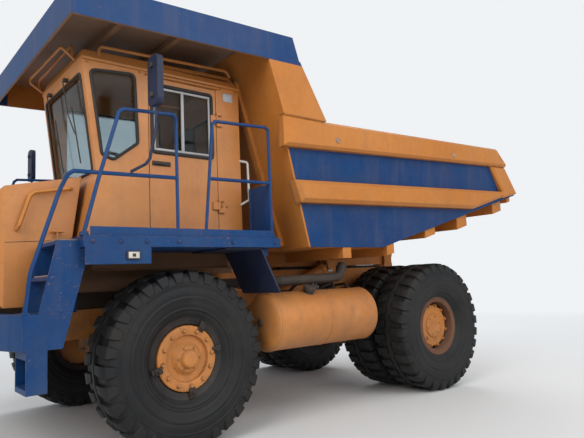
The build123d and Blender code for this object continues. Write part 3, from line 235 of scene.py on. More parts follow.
# Wear along the edges and chips in loose groups
rounding = put(tree, "ShaderNodeBevel", {"Radius": 0.010}, samples=4).outputs[0]
surface = put(tree, "ShaderNodeNewGeometry").outputs["Normal"]
turn = put(tree, "ShaderNodeVectorMath", {0: rounding, 1: surface}, operation="DOT_PRODUCT")
edge = spread(tree, math_of(tree, "SUBTRACT", 1.0, turn.outputs["Value"]), 0.015, 0.16)
edge = times(tree, edge, spread(tree, noise(tree, at, 11, 6, 0.7), 0.45, 0.62))
chips = spread(tree, noise(tree, at, 42, 3), 0.64, 0.68)
chips = times(tree, chips, spread(tree, noise(tree, at, 2.1, 3), 0.48, 0.66))
worn = times(tree, math_of(tree, "MAXIMUM", edge, chips), given["Wear"], True)
colour = blend_colour(tree, worn, colour, given["Bare"])
roughness = math_of(tree, "ADD", given["Plain Roughness"], times(tree, dirt, 0.4))
roughness = math_of(tree, "ADD", roughness, times(tree, fading, 0.08), True)
waves = times(tree, noise(tree, at, 3.2, 2), 2.4)
height = math_of(tree, "ADD", waves, times(tree, noise(tree, at, 70, 4), 0.22))
height = math_of(tree, "SUBTRACT", height, times(tree, worn, 0.18))
for label, value in (("Color", colour), ("Roughness", roughness), ("Height", height), ("Normal", rounding)):
    tree.links.new(value, result[label])


def painted(name, coat=0.12, bump=0.22, specular=0.30, **values):
    """A painted steel material; values are the paint group's inputs that differ from plain."""
    material, tree, shader = new_material(
        name, {"Coat Weight": coat, "Coat Roughness": 0.32, "Specular IOR Level": specular})
    paint = put(tree, "ShaderNodeGroup", node_tree=weathered, name="paint")
    for label, value in values.items():
        paint.inputs[label.replace("_", " ").title()].default_value = value
    tree.links.new(paint.outputs["Color"], shader.inputs["Base Color"])
    tree.links.new(paint.outputs["Roughness"], shader.inputs["Roughness"])
    bumps(tree, shader, paint.outputs["Height"], bump, 0.004, Normal=paint.outputs["Normal"])
    return material


def dress(material, *names):
    """Give CAD nodes a material."""
    for name in names:
        nodes[name].data.materials.clear()
        nodes[name].data.materials.append(material)


chassis_paint = painted(
    "chassis_paint", dirt_amount=0.42, low_dirt=0.75, streaks=0.35, wear=0.6, plain_roughness=0.55,
    coat=0, bump=0.35)
axle_paint = painted(
    "axle_paint", paint=(0.30, 0.14, 0.06, 1), faded=(0.38, 0.19, 0.085, 1),
    dirt_amount=0.6, low_dirt=0.8, wear=0.5, plain_roughness=0.65, coat=0, bump=0.5)
dress(chassis_paint, "frame")
dress(axle_paint, "front_axle", "rear_axle", "suspension_struts", "knuckle_left", "knuckle_right", "tie_rod")

# Wheels
# Ribbed earthmover tyres on pressed rims, chipped by stones and dusted; the hub ends stand bare of
# dirt where hands and tools reach them. Twelve studs hold each front hub, clamps hold its rim.
rubber, rubber_tree, rubber_shader = new_material("rubber", {"Specular IOR Level": 0.28})
rubber_at = own_place(rubber_tree)
rubber_dust = spread(rubber_tree, noise(rubber_tree, rubber_at, 2.2, 7, 0.7), 0.42, 0.78, 0.0, 0.42)
rubber_colour = blend_colour(rubber_tree, rubber_dust, (0.0085, 0.0088, 0.0095, 1), (0.060, 0.052, 0.044, 1))
rubber_tree.links.new(rubber_colour, rubber_shader.inputs["Base Color"])
rubber_tree.links.new(spread(rubber_tree, rubber_dust, 0, 0.5, 0.55, 0.9), rubber_shader.inputs["Roughness"])
bumps(rubber_tree, rubber_shader, noise(rubber_tree, rubber_at, 60, 5), 0.3, 0.003)
hub_paint = painted(
    "hub_paint", bare=(0.045, 0.030, 0.024, 1), dirt_amount=0.30, low_dirt=0.15, streaks=0.3, wear=1.0,
    plain_roughness=0.5, coat=0.05, bump=0.4)
rim_paint = painted(
    "rim_paint", paint=(0.11, 0.038, 0.017, 1), faded=(0.18, 0.066, 0.029, 1), bare=(0.05, 0.032, 0.025, 1),
    dirt_amount=0.55, low_dirt=0.2, wear=0.9, plain_roughness=0.7, coat=0, bump=0.5)
rim_black = painted(
    "rim_black", paint=(0.008, 0.008, 0.009, 1), faded=(0.018, 0.017, 0.017, 1), bare=(0.09, 0.05, 0.03, 1),
    dirt_amount=0.18, low_dirt=0.1, wear=0.4, plain_roughness=0.5, coat=0, bump=0.2)
axle_z = 0.805
tyre_radius = 0.805
bead_radius = 0.330
# Half of the tyre's section from the tread's edge to the bead. Columns: distance from the middle, radius
sidewall = (
    (0.205, 0.768), (0.222, 0.748), (0.232, 0.728), (0.238, 0.700), (0.2405, 0.680), (0.2400, 0.668),
    (0.2450, 0.662), (0.2450, 0.652), (0.2410, 0.646), (0.2460, 0.610), (0.2470, 0.575), (0.2440, 0.568),
    (0.2490, 0.560), (0.2495, 0.546), (0.2440, 0.538), (0.2380, 0.500), (0.2300, 0.470), (0.2240, 0.462),
    (0.2270, 0.454), (0.2240, 0.440), (0.2100, 0.428), (0.2060, 0.415), (0.1960, 0.400), (0.1780, 0.384),
    (0.1640, 0.352), (0.1600, bead_radius),
)
lug_pitches = 30
lug_depth = 0.030
# Sections of one tread bar from the middle to its end on the sidewall.
# Columns: distance out at its top, top radius, distance out at its foot, foot radius, lag, half length round
bar_shape = (
    (0.050, 0.8040, 0.048, 0.766, 0.004, 0.040),
    (0.125, 0.8050, 0.122, 0.768, 0.016, 0.047),
    (0.200, 0.8010, 0.196, 0.766, 0.024, 0.054),
    (0.233, 0.7800, 0.212, 0.748, 0.026, 0.055),
    (0.2475, 0.7400, 0.232, 0.728, 0.026, 0.049),
    (0.2485, 0.6900, 0.240, 0.684, 0.026, 0.038),
)


def piece(name, mesh_data, material, body="chassis", sharp=35):
    """Close a mesh as one piece: smooth but for its sharp edges, with its material, body and slot."""
    bmesh.ops.remove_doubles(mesh_data, verts=mesh_data.verts, dist=0.00002)
    bmesh.ops.recalc_face_normals(mesh_data, faces=mesh_data.faces)
    for face in mesh_data.faces:
        face.smooth = True
    limit = math.radians(sharp)
    for one_edge in mesh_data.edges:
        one_edge.smooth = one_edge.is_manifold and one_edge.calc_face_angle(0) < limit
    mesh = bpy.data.meshes.new(name)
    mesh_data.to_mesh(mesh)
    mesh_data.free()
    made = bpy.data.objects.new(name, mesh)
    bpy.context.collection.objects.link(made)
    mesh.materials.append(material)
    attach(made, body)
    return made


def join_rings(mesh_data, near, far):
    """A band of faces between two rings of points."""
    count = len(near)
    for index in range(count):
        following = (index + 1) % count
        mesh_data.faces.new((near[index], near[following], far[following], far[index]))


def turned(mesh_data, profile, origin, axis, segments=64):
    """Turn (distance along, radius) points about an axis."""
    axis = Vector(axis).normalized()
    across = axis.orthogonal().normalized()
    beside = axis.cross(across)
    rings = []
    for along, radius in profile:
        ring = []
        for step in range(segments):
            angle = 2 * math.pi * step / segments
            offset = across * math.cos(angle) + beside * math.sin(angle)
            ring.append(mesh_data.verts.new(Vector(origin) + axis * along + offset * max(radius, 0.00001)))
        rings.append(ring)
    for near, far in zip(rings, rings[1:]):
        join_rings(mesh_data, near, far)


def slab(mesh_data, low, high, bevel, turn=None):
    """A block between two corners with bevelled edges, turned about its middle if asked."""
    low, high = Vector(low), Vector(high)
    size = Vector([abs(value) for value in high - low])
    placed = Matrix.Translation((low + high) / 2) @ (turn.to_4x4() if turn else Matrix())
    made = bmesh.ops.create_cube(mesh_data, size=1.0, matrix=placed @ Matrix.Diagonal((*size, 1)))
    edges = list({one_edge for corner in made["verts"] for one_edge in corner.link_edges})
    bmesh.ops.bevel(mesh_data, geom=edges, offset=bevel, segments=2, profile=0.6, affect="EDGES")


def bolt(mesh_data, place, axis, radius, height, washer=1.5):
    """A hexagon nut on its washer."""
    turned(mesh_data, ((0, 0), (0, radius * washer), (height * 0.22, radius * washer), (height * 0.22, 0)),
           place, axis, 16)
    turned(mesh_data, ((0, 0), (0, radius), (height * 0.86, radius), (height, radius * 0.82), (height, 0)),
           place, axis, 6)


def bar(data, centre, row, angle):
    """One tread bar with sloped sides; its outer end runs down the shoulder."""
    rings = []
    for top_out, top, foot_out, foot, lag, half in bar_shape:
        ring = []
        for out, level, share in ((foot_out, foot, 1.15), (top_out, top, 0.92)):
            for side in (-1, 1):
                turn = angle + (lag + side * half * share) / tyre_radius
                place = Vector((row * out, level * math.cos(turn), level * math.sin(turn)))
                ring.append(data.verts.new(centre + place))
        rings.append((ring[0], ring[1], ring[3], ring[2]))
    for near, far in zip(rings, rings[1:]):
        join_rings(data, near, far)
    data.faces.new(rings[0])
    data.faces.new(list(reversed(rings[-1])))


def tyre(name, centre, body, node):
    """A tyre: the casing turned, the tread's bars in two staggered rows with a rib between."""
    data = bmesh.new()
    base = tyre_radius - lug_depth
    tread = [(0.120, base), (0.020, base), (-0.020, base), (-0.120, base)]
    profile = list(reversed(sidewall)) + tread + [(-along, radius) for along, radius in sidewall]
    turned(data, profile, centre, (1, 0, 0), 96)
    for row in (-1, 1):
        for pitch in range(lug_pitches):
            bar(data, centre, row, 2 * math.pi * (pitch + (0.5 if row < 0 else 0)) / lug_pitches)
    rib_foot, rib_top = base - 0.004, tyre_radius - 0.004
    rib = ((0.026, rib_foot), (0.022, rib_top), (-0.022, rib_top), (-0.026, rib_foot))
    turned(data, rib, centre, (1, 0, 0), 90)
    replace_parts(piece(name, data, rubber, body, 30), node)


# Half of the rim's outline seen in section, from the open side. Columns: distance from the middle, radius
rim_section = (
    (0.176, 0.384), (0.178, 0.390), (0.172, 0.393), (0.165, 0.386), (0.165, 0.334), (0.140, 0.331),
    (0.060, 0.326), (0.060, 0.300), (0.150, 0.302), (0.162, 0.306), (0.168, 0.318), (0.170, 0.372),
    (0.176, 0.384),
)
rim_base = ((-0.07, 0.300), (0.07, 0.300), (0.07, 0.326), (-0.07, 0.326), (-0.07, 0.300))


def rim(name, centre, side, body, node, material):
    """A rim base with its flange and lock ring on each side; side is the open side's direction."""
    data = bmesh.new()
    for direction in (side, -side):
        turned(data, rim_section, centre, (direction, 0, 0), 72)
    turned(data, rim_base, centre, (side, 0, 0), 72)
    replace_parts(piece(name, data, material, body), node)


def ring_of(count, radius, first=0.0):
    """Offsets of places evenly round an axle."""
    for index in range(count):
        angle = first + 2 * math.pi * index / count
        yield Vector((0, radius * math.cos(angle), radius * math.sin(angle)))


# Steps of the front hub from its rim outward. Columns: distance out from the tyre's middle, radius
front_hub_profile = (
    (-0.06, 0.0), (-0.06, 0.296), (0.176, 0.296), (0.184, 0.288), (0.186, 0.280), (0.186, 0.218),
    (0.182, 0.212), (0.152, 0.206), (0.150, 0.200), (0.150, 0.150), (0.158, 0.140), (0.198, 0.122),
    (0.205, 0.116), (0.205, 0.092), (0.209, 0.086), (0.240, 0.082), (0.256, 0.070), (0.263, 0.048),
    (0.264, 0.0),
)
clamp_angles = (10, 61, 195, 277)
# A clamp's two blocks. Columns: radius they stand at, distance out from the tyre's middle, half sizes
clamp_blocks = (
    (0.300, 0.188, Vector((0.016, 0.036, 0.030))),
    (0.342, 0.160, Vector((0.030, 0.022, 0.026))),
)


def front_hub(end, centre, side, body):
    """The hub with its ring of studs, its inner ring and a cap held by small screws."""
    axis = Vector((side, 0, 0))
    data = bmesh.new()
    turned(data, front_hub_profile, centre, axis, 72)
    for around in ring_of(12, 0.250, 0.13):
        bolt(data, centre + axis * 0.185 + around, axis, 0.017, 0.024, 1.35)
    for around in ring_of(6, 0.103):
        bolt(data, centre + axis * 0.205 + around, axis, 0.0075, 0.009)
    piece("hub_front" + end, data, hub_paint, body)
    clamps = bmesh.new()
    for degrees in clamp_angles:
        angle = math.radians(degrees)
        outward = Vector((0, math.cos(angle), math.sin(angle)))
        spin = Matrix.Rotation(angle, 3, "X")
        for radius, out, half in clamp_blocks:
            middle = centre + outward * radius + axis * out
            slab(clamps, middle - half, middle + half, 0.007, spin)
        bolt(clamps, centre + outward * 0.300 + axis * 0.204, axis, 0.017, 0.024, 1.3)
    piece("hub_front" + end + "_clamps", clamps, rim_black, body)


# Outline of the rear cover from its middle. Columns: distance out from the outer tyre's middle, radius
cover_profile = (
    (0.034, 0.0), (0.034, 0.258), (0.084, 0.258), (0.090, 0.250), (0.090, 0.232), (0.087, 0.228),
    (0.087, 0.166), (0.090, 0.160), (0.092, 0.152), (0.100, 0.150), (0.104, 0.145), (0.104, 0.050),
    (0.100, 0.044), (0.100, 0.0),
)
barrel_profile = ((0.030, 0.255), (0.030, 0.268), (0.012, 0.288), (-0.030, 0.298), (-0.060, 0.300))
lobe_profile = ((0, 0), (0, 0.030), (0.046, 0.030), (0.051, 0.025), (0.051, 0))
lobe_count = 12


def rear_cover(end, centre, side, body):
    """The scalloped final-drive cover: a bolt in each lobe, a raised middle plate and a drain plug."""
    axis = Vector((side, 0, 0))
    data = bmesh.new()
    turned(data, cover_profile, centre, axis, 96)
    for around in ring_of(lobe_count, 0.258, math.pi / lobe_count):
        place = centre + axis * 0.036 + around
        turned(data, lobe_profile, place, axis, 20)
        bolt(data, place + axis * 0.050, axis, 0.0165, 0.022, 1.3)
    for around in ring_of(6, 0.118, 0.2):
        bolt(data, centre + axis * 0.104 + around, axis, 0.009, 0.010, 1.3)
    bolt(data, centre + Vector((side * 0.087, -0.135, -0.150)), axis, 0.015, 0.018)
    piece("cover_rear" + end, data, hub_paint, body)
    barrel = bmesh.new()
    turned(barrel, barrel_profile, centre, axis, 72)
    piece("cover_rear" + end + "_barrel", barrel, rim_paint, body)


front_axle_y, rear_axle_y = -1.995, 1.555
# Columns: place, distance from the truck's middle, axle, body, tyre's node, rim's node, rim's paint,
# what closes its outer side
wheel_table = (
    ("front", 1.390, front_axle_y, "front_wheel", "front_tyre", "front_rim", rim_black, front_hub),
    ("rear_inner", 0.965, rear_axle_y, "rear_wheels", "rear_tyres", "rear_rims", rim_paint, None),
    ("rear_outer", 1.545, rear_axle_y, "rear_wheels", "rear_tyres", "rear_rims", rim_paint, rear_cover),
)
for side, end in ((1, "_left"), (-1, "_right")):
    for place, wheel_x, axle_y, body, tyre_node, rim_node, rim_finish, outer_end in wheel_table:
        centre = Vector((side * wheel_x, axle_y, axle_z))
        tyre("tread_" + place + end, centre, body + end, tyre_node + end)
        rim("rim_" + place + end, centre, side, body + end, rim_node + end, rim_finish)
        if outer_end:
            outer_end(end, centre, side, body + end)

# Tanks, exhaust and hoses
# Rolled steel tanks with dished ends on straps under the deck; a steel exhaust in heat-dulled black
# that ends under the load body; rubber hoses clipped along the frame to a valve block.
black_iron = painted(
    "black_iron", paint=(0.020, 0.019, 0.020, 1), faded=(0.045, 0.040, 0.038, 1), bare=(0.12, 0.07, 0.05, 1),
    dirt_amount=0.35, low_dirt=0.2, wear=0.5, plain_roughness=0.55, coat=0, bump=0.3)
engine_iron = painted(
    "engine_iron", paint=(0.10, 0.085, 0.07, 1), faded=(0.15, 0.11, 0.08, 1),
    dirt_amount=0.6, plain_roughness=0.7, coat=0, bump=0.4)
tank_paint = painted(
    "tank_paint", dirt_amount=0.30, low_dirt=0.35, streaks=0.4, wear=0.45, plain_roughness=0.38,
    coat=0.25, bump=0.5)
dress(black_iron, "exhaust_pipe")
dress(engine_iron, "engine")
tank_x, tank_z = 1.450, 1.048
tank_front, tank_rear = -1.075, 0.425
tank_length = tank_rear - tank_front
tank_radius = 0.303
tank_dish = 0.056
# The tank's end from its middle outward. Columns: distance in from the end, radius
tank_end = (
    (0.0, 0.0), (0.000, 0.120), (0.003, 0.180), (0.010, 0.232), (0.022, 0.272), (0.038, 0.294),
    (tank_dish, tank_radius),
)
cradle_stations = (-0.825, 0.075)
seam_stations = (-1.015, -0.325, 0.365)
seam_section = ((-0.012, 0.300), (-0.007, 0.3080), (0.007, 0.3080), (0.012, 0.300))
# One dent, in the left drum: where it is, how deep and how wide
dent_place = Vector((1.748, 0.020, 1.095))
dent_depth, dent_reach = 0.026, 0.055
for side, tank in ((1, "fuel_tank"), (-1, "hydraulic_tank")):
    drum = bmesh.new()
    shell = [(tank_dish + (tank_length - 2 * tank_dish) * step / 40, tank_radius) for step in range(1, 40)]
    far_end = [(tank_length - inward, radius) for inward, radius in reversed(tank_end)]
    profile = list(tank_end) + shell + far_end
    turned(drum, profile, (side * tank_x, tank_front, tank_z), (0, 1, 0), 96)
    for vertex in drum.verts:
        near = (vertex.co - dent_place).length if side > 0 else 1.0
        vertex.co.x -= dent_depth * math.exp(-(near / dent_reach) ** 2)
    for y in cradle_stations:
        slab(drum, (side * 0.460, y - 0.040, 1.028), (side * 1.250, y + 0.040, 1.168), 0.006)
    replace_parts(piece(tank + "_drum", drum, tank_paint, sharp=25), tank)
    seams = bmesh.new()
    for y in seam_stations:
        turned(seams, seam_section, (side * tank_x, y, tank_z), (0, 1, 0), 96)
    piece(tank + "_seams", seams, tank_paint)


def boss(mesh_data, place, axis, radius, shoulder, height, top_radius, segments=20):
    """A round stud or foot with a tapered top; shoulder is where the taper starts."""
    profile = ((0, 0), (0, radius), (shoulder, radius), (height, top_radius), (height, 0))
    turned(mesh_data, profile, place, axis, segments)


filler_profile = (
    (0, 0), (0, 0.055), (0.040, 0.055), (0.040, 0.068), (0.075, 0.068), (0.084, 0.058), (0.084, 0),
)
filler = bmesh.new()
turned(filler, filler_profile, (1.560, -0.500, 1.320), (0.36, 0, 0.93), 32)
boss(filler, (tank_x, -1.082, tank_z), (0, -1, 0), 0.040, 0.010, 0.014, 0.034, 24)
piece("tank_filler", filler, black_iron)
# Rubber pads between the frame rails and the load body's sills. Columns: front y, rear y
pad_spans = ((0.02, 0.62), (0.66, 1.26), (1.30, 1.86))
pads = bmesh.new()
for side in (1, -1):
    for low_y, high_y in pad_spans:
        slab(pads, (side * 0.345, low_y, 1.606), (side * 0.435, high_y, 1.645), 0.006)
piece("body_rest_pads", pads, rubber)
# Plates inside the front wheel arches and beside the engine, on short brackets from the frame
# Their orange is darkened to a deep brown as painted shade of the arch, with dirt over it
arch_shade_paint = painted(
    "arch_shade_paint", paint=(0.115, 0.052, 0.024, 1), faded=(0.17, 0.084, 0.040, 1),
    dirt_amount=0.6, low_dirt=0.6, wear=0.4, plain_roughness=0.7, coat=0, bump=0.4)
arches = bmesh.new()
for side in (1, -1):
    slab(arches, (side * 1.108, -2.700, 1.635), (side * 1.116, -1.240, 1.802), 0.002)
    slab(arches, (side * 1.108, -2.700, 1.632), (side * 1.150, -1.240, 1.640), 0.002)
    slab(arches, (side * 0.700, -2.780, 1.440), (side * 0.708, -1.200, 1.805), 0.002)
    slab(arches, (side * 0.700, -1.210, 1.585), (side * 0.708, -0.930, 1.805), 0.002)
    for y in (-2.780, -2.000, -1.240):
        slab(arches, (side * 0.440, y, 1.520), (side * 0.706, y + 0.040, 1.560), 0.003)
piece("wheel_arch_plates", arches, arch_shade_paint)
cluster = bmesh.new()
slab(cluster, (1.360, -0.330, 1.335), (1.440, -0.230, 1.400), 0.006)
boss(cluster, (1.400, -0.300, 1.395), (0, 0, 1), 0.024, 0.060, 0.066, 0.018)
turned(cluster, ((0, 0), (0, 0.014), (0.100, 0.010), (0.104, 0)), (1.400, -0.255, 1.395),
       (0.1, 0.5, 0.85), 14)
for y in (-0.30, -0.26):
    bolt(cluster, (1.440, y, 1.368), (1, 0, 0), 0.012, 0.020)
piece("drain_valves", cluster, black_iron)


def rounded(points, bend, closed=False, steps=6):
    """The points of a run whose corners are rounded."""
    corners = [Vector(point) for point in points]
    count = len(corners)
    route = [] if closed else [corners[0]]
    for index in range(0 if closed else 1, count if closed else count - 1):
        before, corner, after = corners[index - 1], corners[index], corners[(index + 1) % count]
        into = (before - corner).normalized()
        out = (after - corner).normalized()
        reach = min(bend / math.tan(into.angle(out) / 2), 0.48 * (before - corner).length,
                    0.48 * (after - corner).length)
        for step in range(steps + 1):
            share = step / steps
            route.append((corner + into * reach) * (1 - share) ** 2 + corner * 2 * share * (1 - share)
                         + (corner + out * reach) * share ** 2)
    return route if closed else route + [corners[-1]]


def tubes(name, runs, radius, material, body="chassis", closed=False):
    """Round bars or tubes along runs of points, as one piece."""
    curve = bpy.data.curves.new(name, "CURVE")
    curve.dimensions = "3D"
    curve.bevel_depth = radius
    curve.bevel_resolution = 3
    curve.use_fill_caps = not closed
    for run in runs:
        spline = curve.splines.new("POLY")
        spline.points.add(len(run) - 1)
        for point, place in zip(spline.points, run):
            point.co = (*place, 1)
        spline.use_cyclic_u = closed
    holder = bpy.data.objects.new(name + "_line", curve)
    mesh_data = bmesh.new()
    drawn = bpy.data.meshes.new_from_object(holder)
    mesh_data.from_mesh(drawn)
    bpy.data.objects.remove(holder)
    bpy.data.meshes.remove(drawn)
    piece(name, mesh_data, material, body)


hose_black = painted(
    "hose_black", paint=(0.018, 0.017, 0.018, 1), faded=(0.04, 0.036, 0.034, 1),
    dirt_amount=0.35, wear=0.1, plain_roughness=0.6, coat=0, bump=0.2)
hose_radius, hose_bend = 0.019, 0.07
hose_routes = (
    ((1.38, -0.28, 1.39), (1.30, -0.28, 1.44), (1.16, -0.34, 1.42), (1.05, -0.36, 1.34), (0.90, -0.36, 1.34)),
    ((0.60, 0.55, 1.36), (0.78, 0.42, 1.40), (1.05, 0.34, 1.44), (1.18, 0.24, 1.36), (1.22, 0.22, 1.18)),
    ((0.60, 0.62, 1.34), (0.86, 0.54, 1.38), (1.12, 0.50, 1.40), (1.26, 0.46, 1.28), (1.24, 0.36, 1.10)),
    ((0.62, 0.72, 1.30), (0.94, 0.70, 1.34), (1.14, 0.60, 1.30), (1.20, 0.50, 1.16)),
    ((0.50, -0.40, 1.38), (0.74, -0.44, 1.42), (1.02, -0.60, 1.44), (1.10, -0.80, 1.40), (1.00, -1.05, 1.42)),
)
hose_runs = [rounded(route, hose_bend) for route in hose_routes]
tubes("frame_hoses", hose_runs, hose_radius, hose_black)
valve = bmesh.new()
slab(valve, (0.560, 0.480, 1.270), (0.680, 0.760, 1.400), 0.008)
for y in (0.53, 0.62, 0.71):
    boss(valve, (0.60, y, 1.400), (0, 0, 1), 0.030, 0.06, 0.07, 0.022)
    bolt(valve, (0.680, y, 1.335), (1, 0, 0), 0.020, 0.03)
piece("valve_block", valve, black_iron)

# Bumper, stairs, decks and mud guards
# Bent and welded plate in blue, its paint rubbed through to a dull orange coat along every edge;
# open treads of sharp grating and a chequered deck that boots have polished.
blue = (0.0005, 0.033, 0.128, 1)
blue_faded = (0.0020, 0.048, 0.158, 1)
rubbed = (0.24, 0.13, 0.075, 1)
blue_values = {
    "paint": blue, "faded": blue_faded, "bare": rubbed, "dirt": (0.11, 0.10, 0.095, 1), "dirt_amount": 0.16,
    "low_dirt": 0.15, "streaks": 0.18, "wear": 0.6, "plain_roughness": 0.40, "coat": 0.03,
}
railing_values = blue_values | {"wear": 0.35, "dirt_amount": 0.06, "bump": 0.1, "specular": 0.2}
guard_values = blue_values | {
    "paint": (0.005, 0.012, 0.040, 1), "faded": (0.010, 0.020, 0.055, 1), "wear": 0.5,
    "plain_roughness": 0.5, "coat": 0, "bump": 0.3,
}
blue_steel = painted("blue_steel", bump=0.3, specular=0.14, **blue_values)
rail_blue = painted("rail_blue", **railing_values)
dark_guard = painted("dark_guard", **guard_values)
worn_steel = painted(
    "worn_steel", paint=(0.36, 0.27, 0.22, 1), faded=(0.24, 0.15, 0.11, 1),
    dirt_amount=0.4, low_dirt=0.1, wear=0.9, plain_roughness=0.6, coat=0, bump=0.3)
dress(blue_steel, "front_bumper", "stairs", "decks")
dress(dark_guard, "mud_guards")
# Columns: top of the tread, its front edge
treads = ((1.5785, -3.235), (1.857, -3.170))
bars_a_tread = 17
grating = bmesh.new()
for side in (1, -1):
    for tread_z, front_y in treads:
        for index in range(bars_a_tread):
            x = side * (1.295 + 0.410 * index / (bars_a_tread - 1))
            slab(grating, (x - 0.005, front_y + 0.01, tread_z + 0.001),
                 (x + 0.005, front_y + 0.17, tread_z + 0.012), 0.002)
        slab(grating, (side * 1.280, front_y, tread_z + 0.001),
             (side * 1.720, front_y + 0.010, tread_z + 0.014), 0.003)
piece("tread_grating", grating, worn_steel)
bumper_face_y = -3.555
deck_edge_x = 1.850
studs = bmesh.new()
for side in (1, -1):
    for x in (0.30, 0.62, 1.10):
        for z in (1.225, 1.105):
            bolt(studs, (side * x, bumper_face_y, z), (0, -1, 0), 0.020, 0.020)
    for y in (-2.95, -2.72, -2.50, -2.20, -1.65, -1.15):
        bolt(studs, (side * deck_edge_x, y, 1.845), (side, 0, 0), 0.013, 0.012)
piece("plate_bolts", studs, blue_steel)

# Nose, grille, hood, lamps and air cleaner
# Pressed steel panels in orange round a slatted black grille; sealed lamps with clear glass; a big
# dry air cleaner with a rain cap.
nose_paint = painted(
    "nose_paint", dirt_amount=0.22, low_dirt=0.2, streaks=0.25, wear=0.35, coat=0.3, bump=0.25)
dress(nose_paint, "nose_panel", "hood", "air_cleaner")
dress(black_iron, "grille", "lamps")
lamp_glass, lamp_tree, lamp_shader = new_material(
    "lamp_glass", {"Base Color": (0.85, 0.87, 0.88, 1), "Transmission Weight": 0.75, "Roughness": 0.08})
flutes = put(lamp_tree, "ShaderNodeTexWave", {"Vector": own_place(lamp_tree), "Scale": 22.0})
bumps(lamp_tree, lamp_shader, flutes.outputs["Fac"], 0.4, 0.003)
chrome, chrome_tree, chrome_shader = new_material(
    "chrome", {"Metallic": 1.0, "Base Color": (0.62, 0.63, 0.65, 1)})
wipe_marks = spread(chrome_tree, noise(chrome_tree, own_place(chrome_tree), 9, 6), 0.3, 0.7, 0.12, 0.38)
chrome_tree.links.new(wipe_marks, chrome_shader.inputs["Roughness"])
lens_profile = ((0.0, 0.076), (0.008, 0.074), (0.014, 0.055), (0.018, 0.028), (0.019, 0.0))
bezel_profile = ((0.0, 0.090), (0.010, 0.090), (0.014, 0.084), (0.010, 0.076), (0.0, 0.076))
lenses = bmesh.new()
bezels = bmesh.new()
for x in (-1.010, -0.800, 0.800, 1.010):
    turned(lenses, lens_profile, (x, -3.503, 1.600), (0, -1, 0), 40)
    turned(bezels, bezel_profile, (x, -3.500, 1.600), (0, -1, 0), 40)
piece("lamp_lenses", lenses, lamp_glass)
piece("lamp_bezels", bezels, chrome)


def plate(mesh_data, outline, depth):
    """A flat plate: a closed outline of points in space, thickened along a vector."""
    near = [mesh_data.verts.new(Vector(point)) for point in outline]
    far = [mesh_data.verts.new(Vector(point) + Vector(depth)) for point in outline]
    mesh_data.faces.new(near)
    mesh_data.faces.new(list(reversed(far)))
    join_rings(mesh_data, near, far)


latch_y, latch_z = -3.038, 1.975
seam_corners = ((-3.440, 1.884), (-2.905, 1.908), (-2.905, 1.903), (-3.440, 1.879))
latches = bmesh.new()
nose_seams = bmesh.new()
for side in (1, -1):
    knob = (side * 1.242, latch_y, latch_z)
    turned(latches, ((0, 0), (0, 0.016), (0.045, 0.016), (0.045, 0)), (side * 1.198, latch_y, latch_z),
           (side, 0, 0), 20)
    turned(latches, ((-0.055, 0), (-0.055, 0.010), (0.055, 0.010), (0.055, 0)), knob, (0, 1, 0), 16)
    turned(latches, ((-0.050, 0), (-0.050, 0.008), (0, 0.008), (0, 0)), knob, (0, 0, 1), 12)
    plate(nose_seams, [(side * 1.1990, y, z) for y, z in seam_corners], (side * 0.0018, 0, 0))
piece("nose_latches", latches, nose_paint)
piece("nose_seams", nose_seams, black_iron)
cleaner_x, cleaner_y = -1.250, -2.300
cap = bmesh.new()
turned(cap, ((0.0, 0.232), (0.012, 0.250), (0.030, 0.250), (0.070, 0.180), (0.085, 0.060), (0.086, 0.0)),
       (cleaner_x, cleaner_y, 2.690), (0, 0, 1), 48)
for z in (2.05, 2.55):
    turned(cap, ((-0.02, 0.230), (-0.02, 0.236), (0.02, 0.236), (0.02, 0.230)), (cleaner_x, cleaner_y, z),
           (0, 0, 1), 48)
piece("air_cleaner_cap", cap, black_iron)
white_plate = painted(
    "white_plate", paint=(0.62, 0.60, 0.54, 1), faded=(0.50, 0.48, 0.42, 1),
    dirt_amount=0.2, wear=0.15, streaks=0.4, coat=0.1, bump=0.1)
side_lamps = bmesh.new()
side_marks = bmesh.new()
for side in (1, -1):
    slab(side_lamps, (side * 1.866, -2.668, 1.705), (side * 1.8765, -2.575, 1.757), 0.003)
    slab(side_marks, (side * 1.8765, -2.636, 1.718), (side * 1.879, -2.607, 1.744), 0.001)
piece("side_lamp_fronts", side_lamps, white_plate)
piece("side_lamp_marks", side_marks, black_iron)

# Cab
# A welded box of orange panels with bolted-in windows on black rubber seals, a hinged door with a
# sliding aluminium window, roof grab rails, wipers on the front and a stowed folding visor frame.
cab_paint = painted("cab_paint", dirt_amount=0.20, low_dirt=0, streaks=0.30, wear=0.30, coat=0.3, bump=0.3)
rubber_seal = painted(
    "rubber_seal", paint=(0.012, 0.012, 0.013, 1), faded=(0.028, 0.027, 0.027, 1),
    dirt_amount=0.18, low_dirt=0, wear=0, plain_roughness=0.55, coat=0, bump=0.1)
aluminium = painted(
    "aluminium", paint=(0.42, 0.42, 0.43, 1), faded=(0.34, 0.34, 0.34, 1),
    dirt_amount=0.25, wear=0, plain_roughness=0.4, coat=0, bump=0.05)
tinted, tinted_tree, tinted_shader = new_material(
    "tinted_glass", {"Base Color": (0.60, 0.68, 0.70, 1), "Transmission Weight": 1.0, "IOR": 1.15})
smears = spread(tinted_tree, noise(tinted_tree, own_place(tinted_tree), 3.0, 6), 0.35, 0.75, 0.02, 0.22)
tinted_tree.links.new(smears, tinted_shader.inputs["Roughness"])
dress(cab_paint, "cab_shell", "cab_door")
dress(tinted, "cab_glass", "cab_door_glass")
cab_side_x = 1.400
screen_foot = Vector((0, -2.755, 2.470))
screen_head = Vector((0, -2.885, 3.530))
screen_top_z = 3.400


def screen_y(z):
    """Where the sloped front of the cab stands at a height."""
    share = (z - screen_foot.z) / (screen_head.z - screen_foot.z)
    return screen_foot.y + (screen_head.y - screen_foot.y) * share


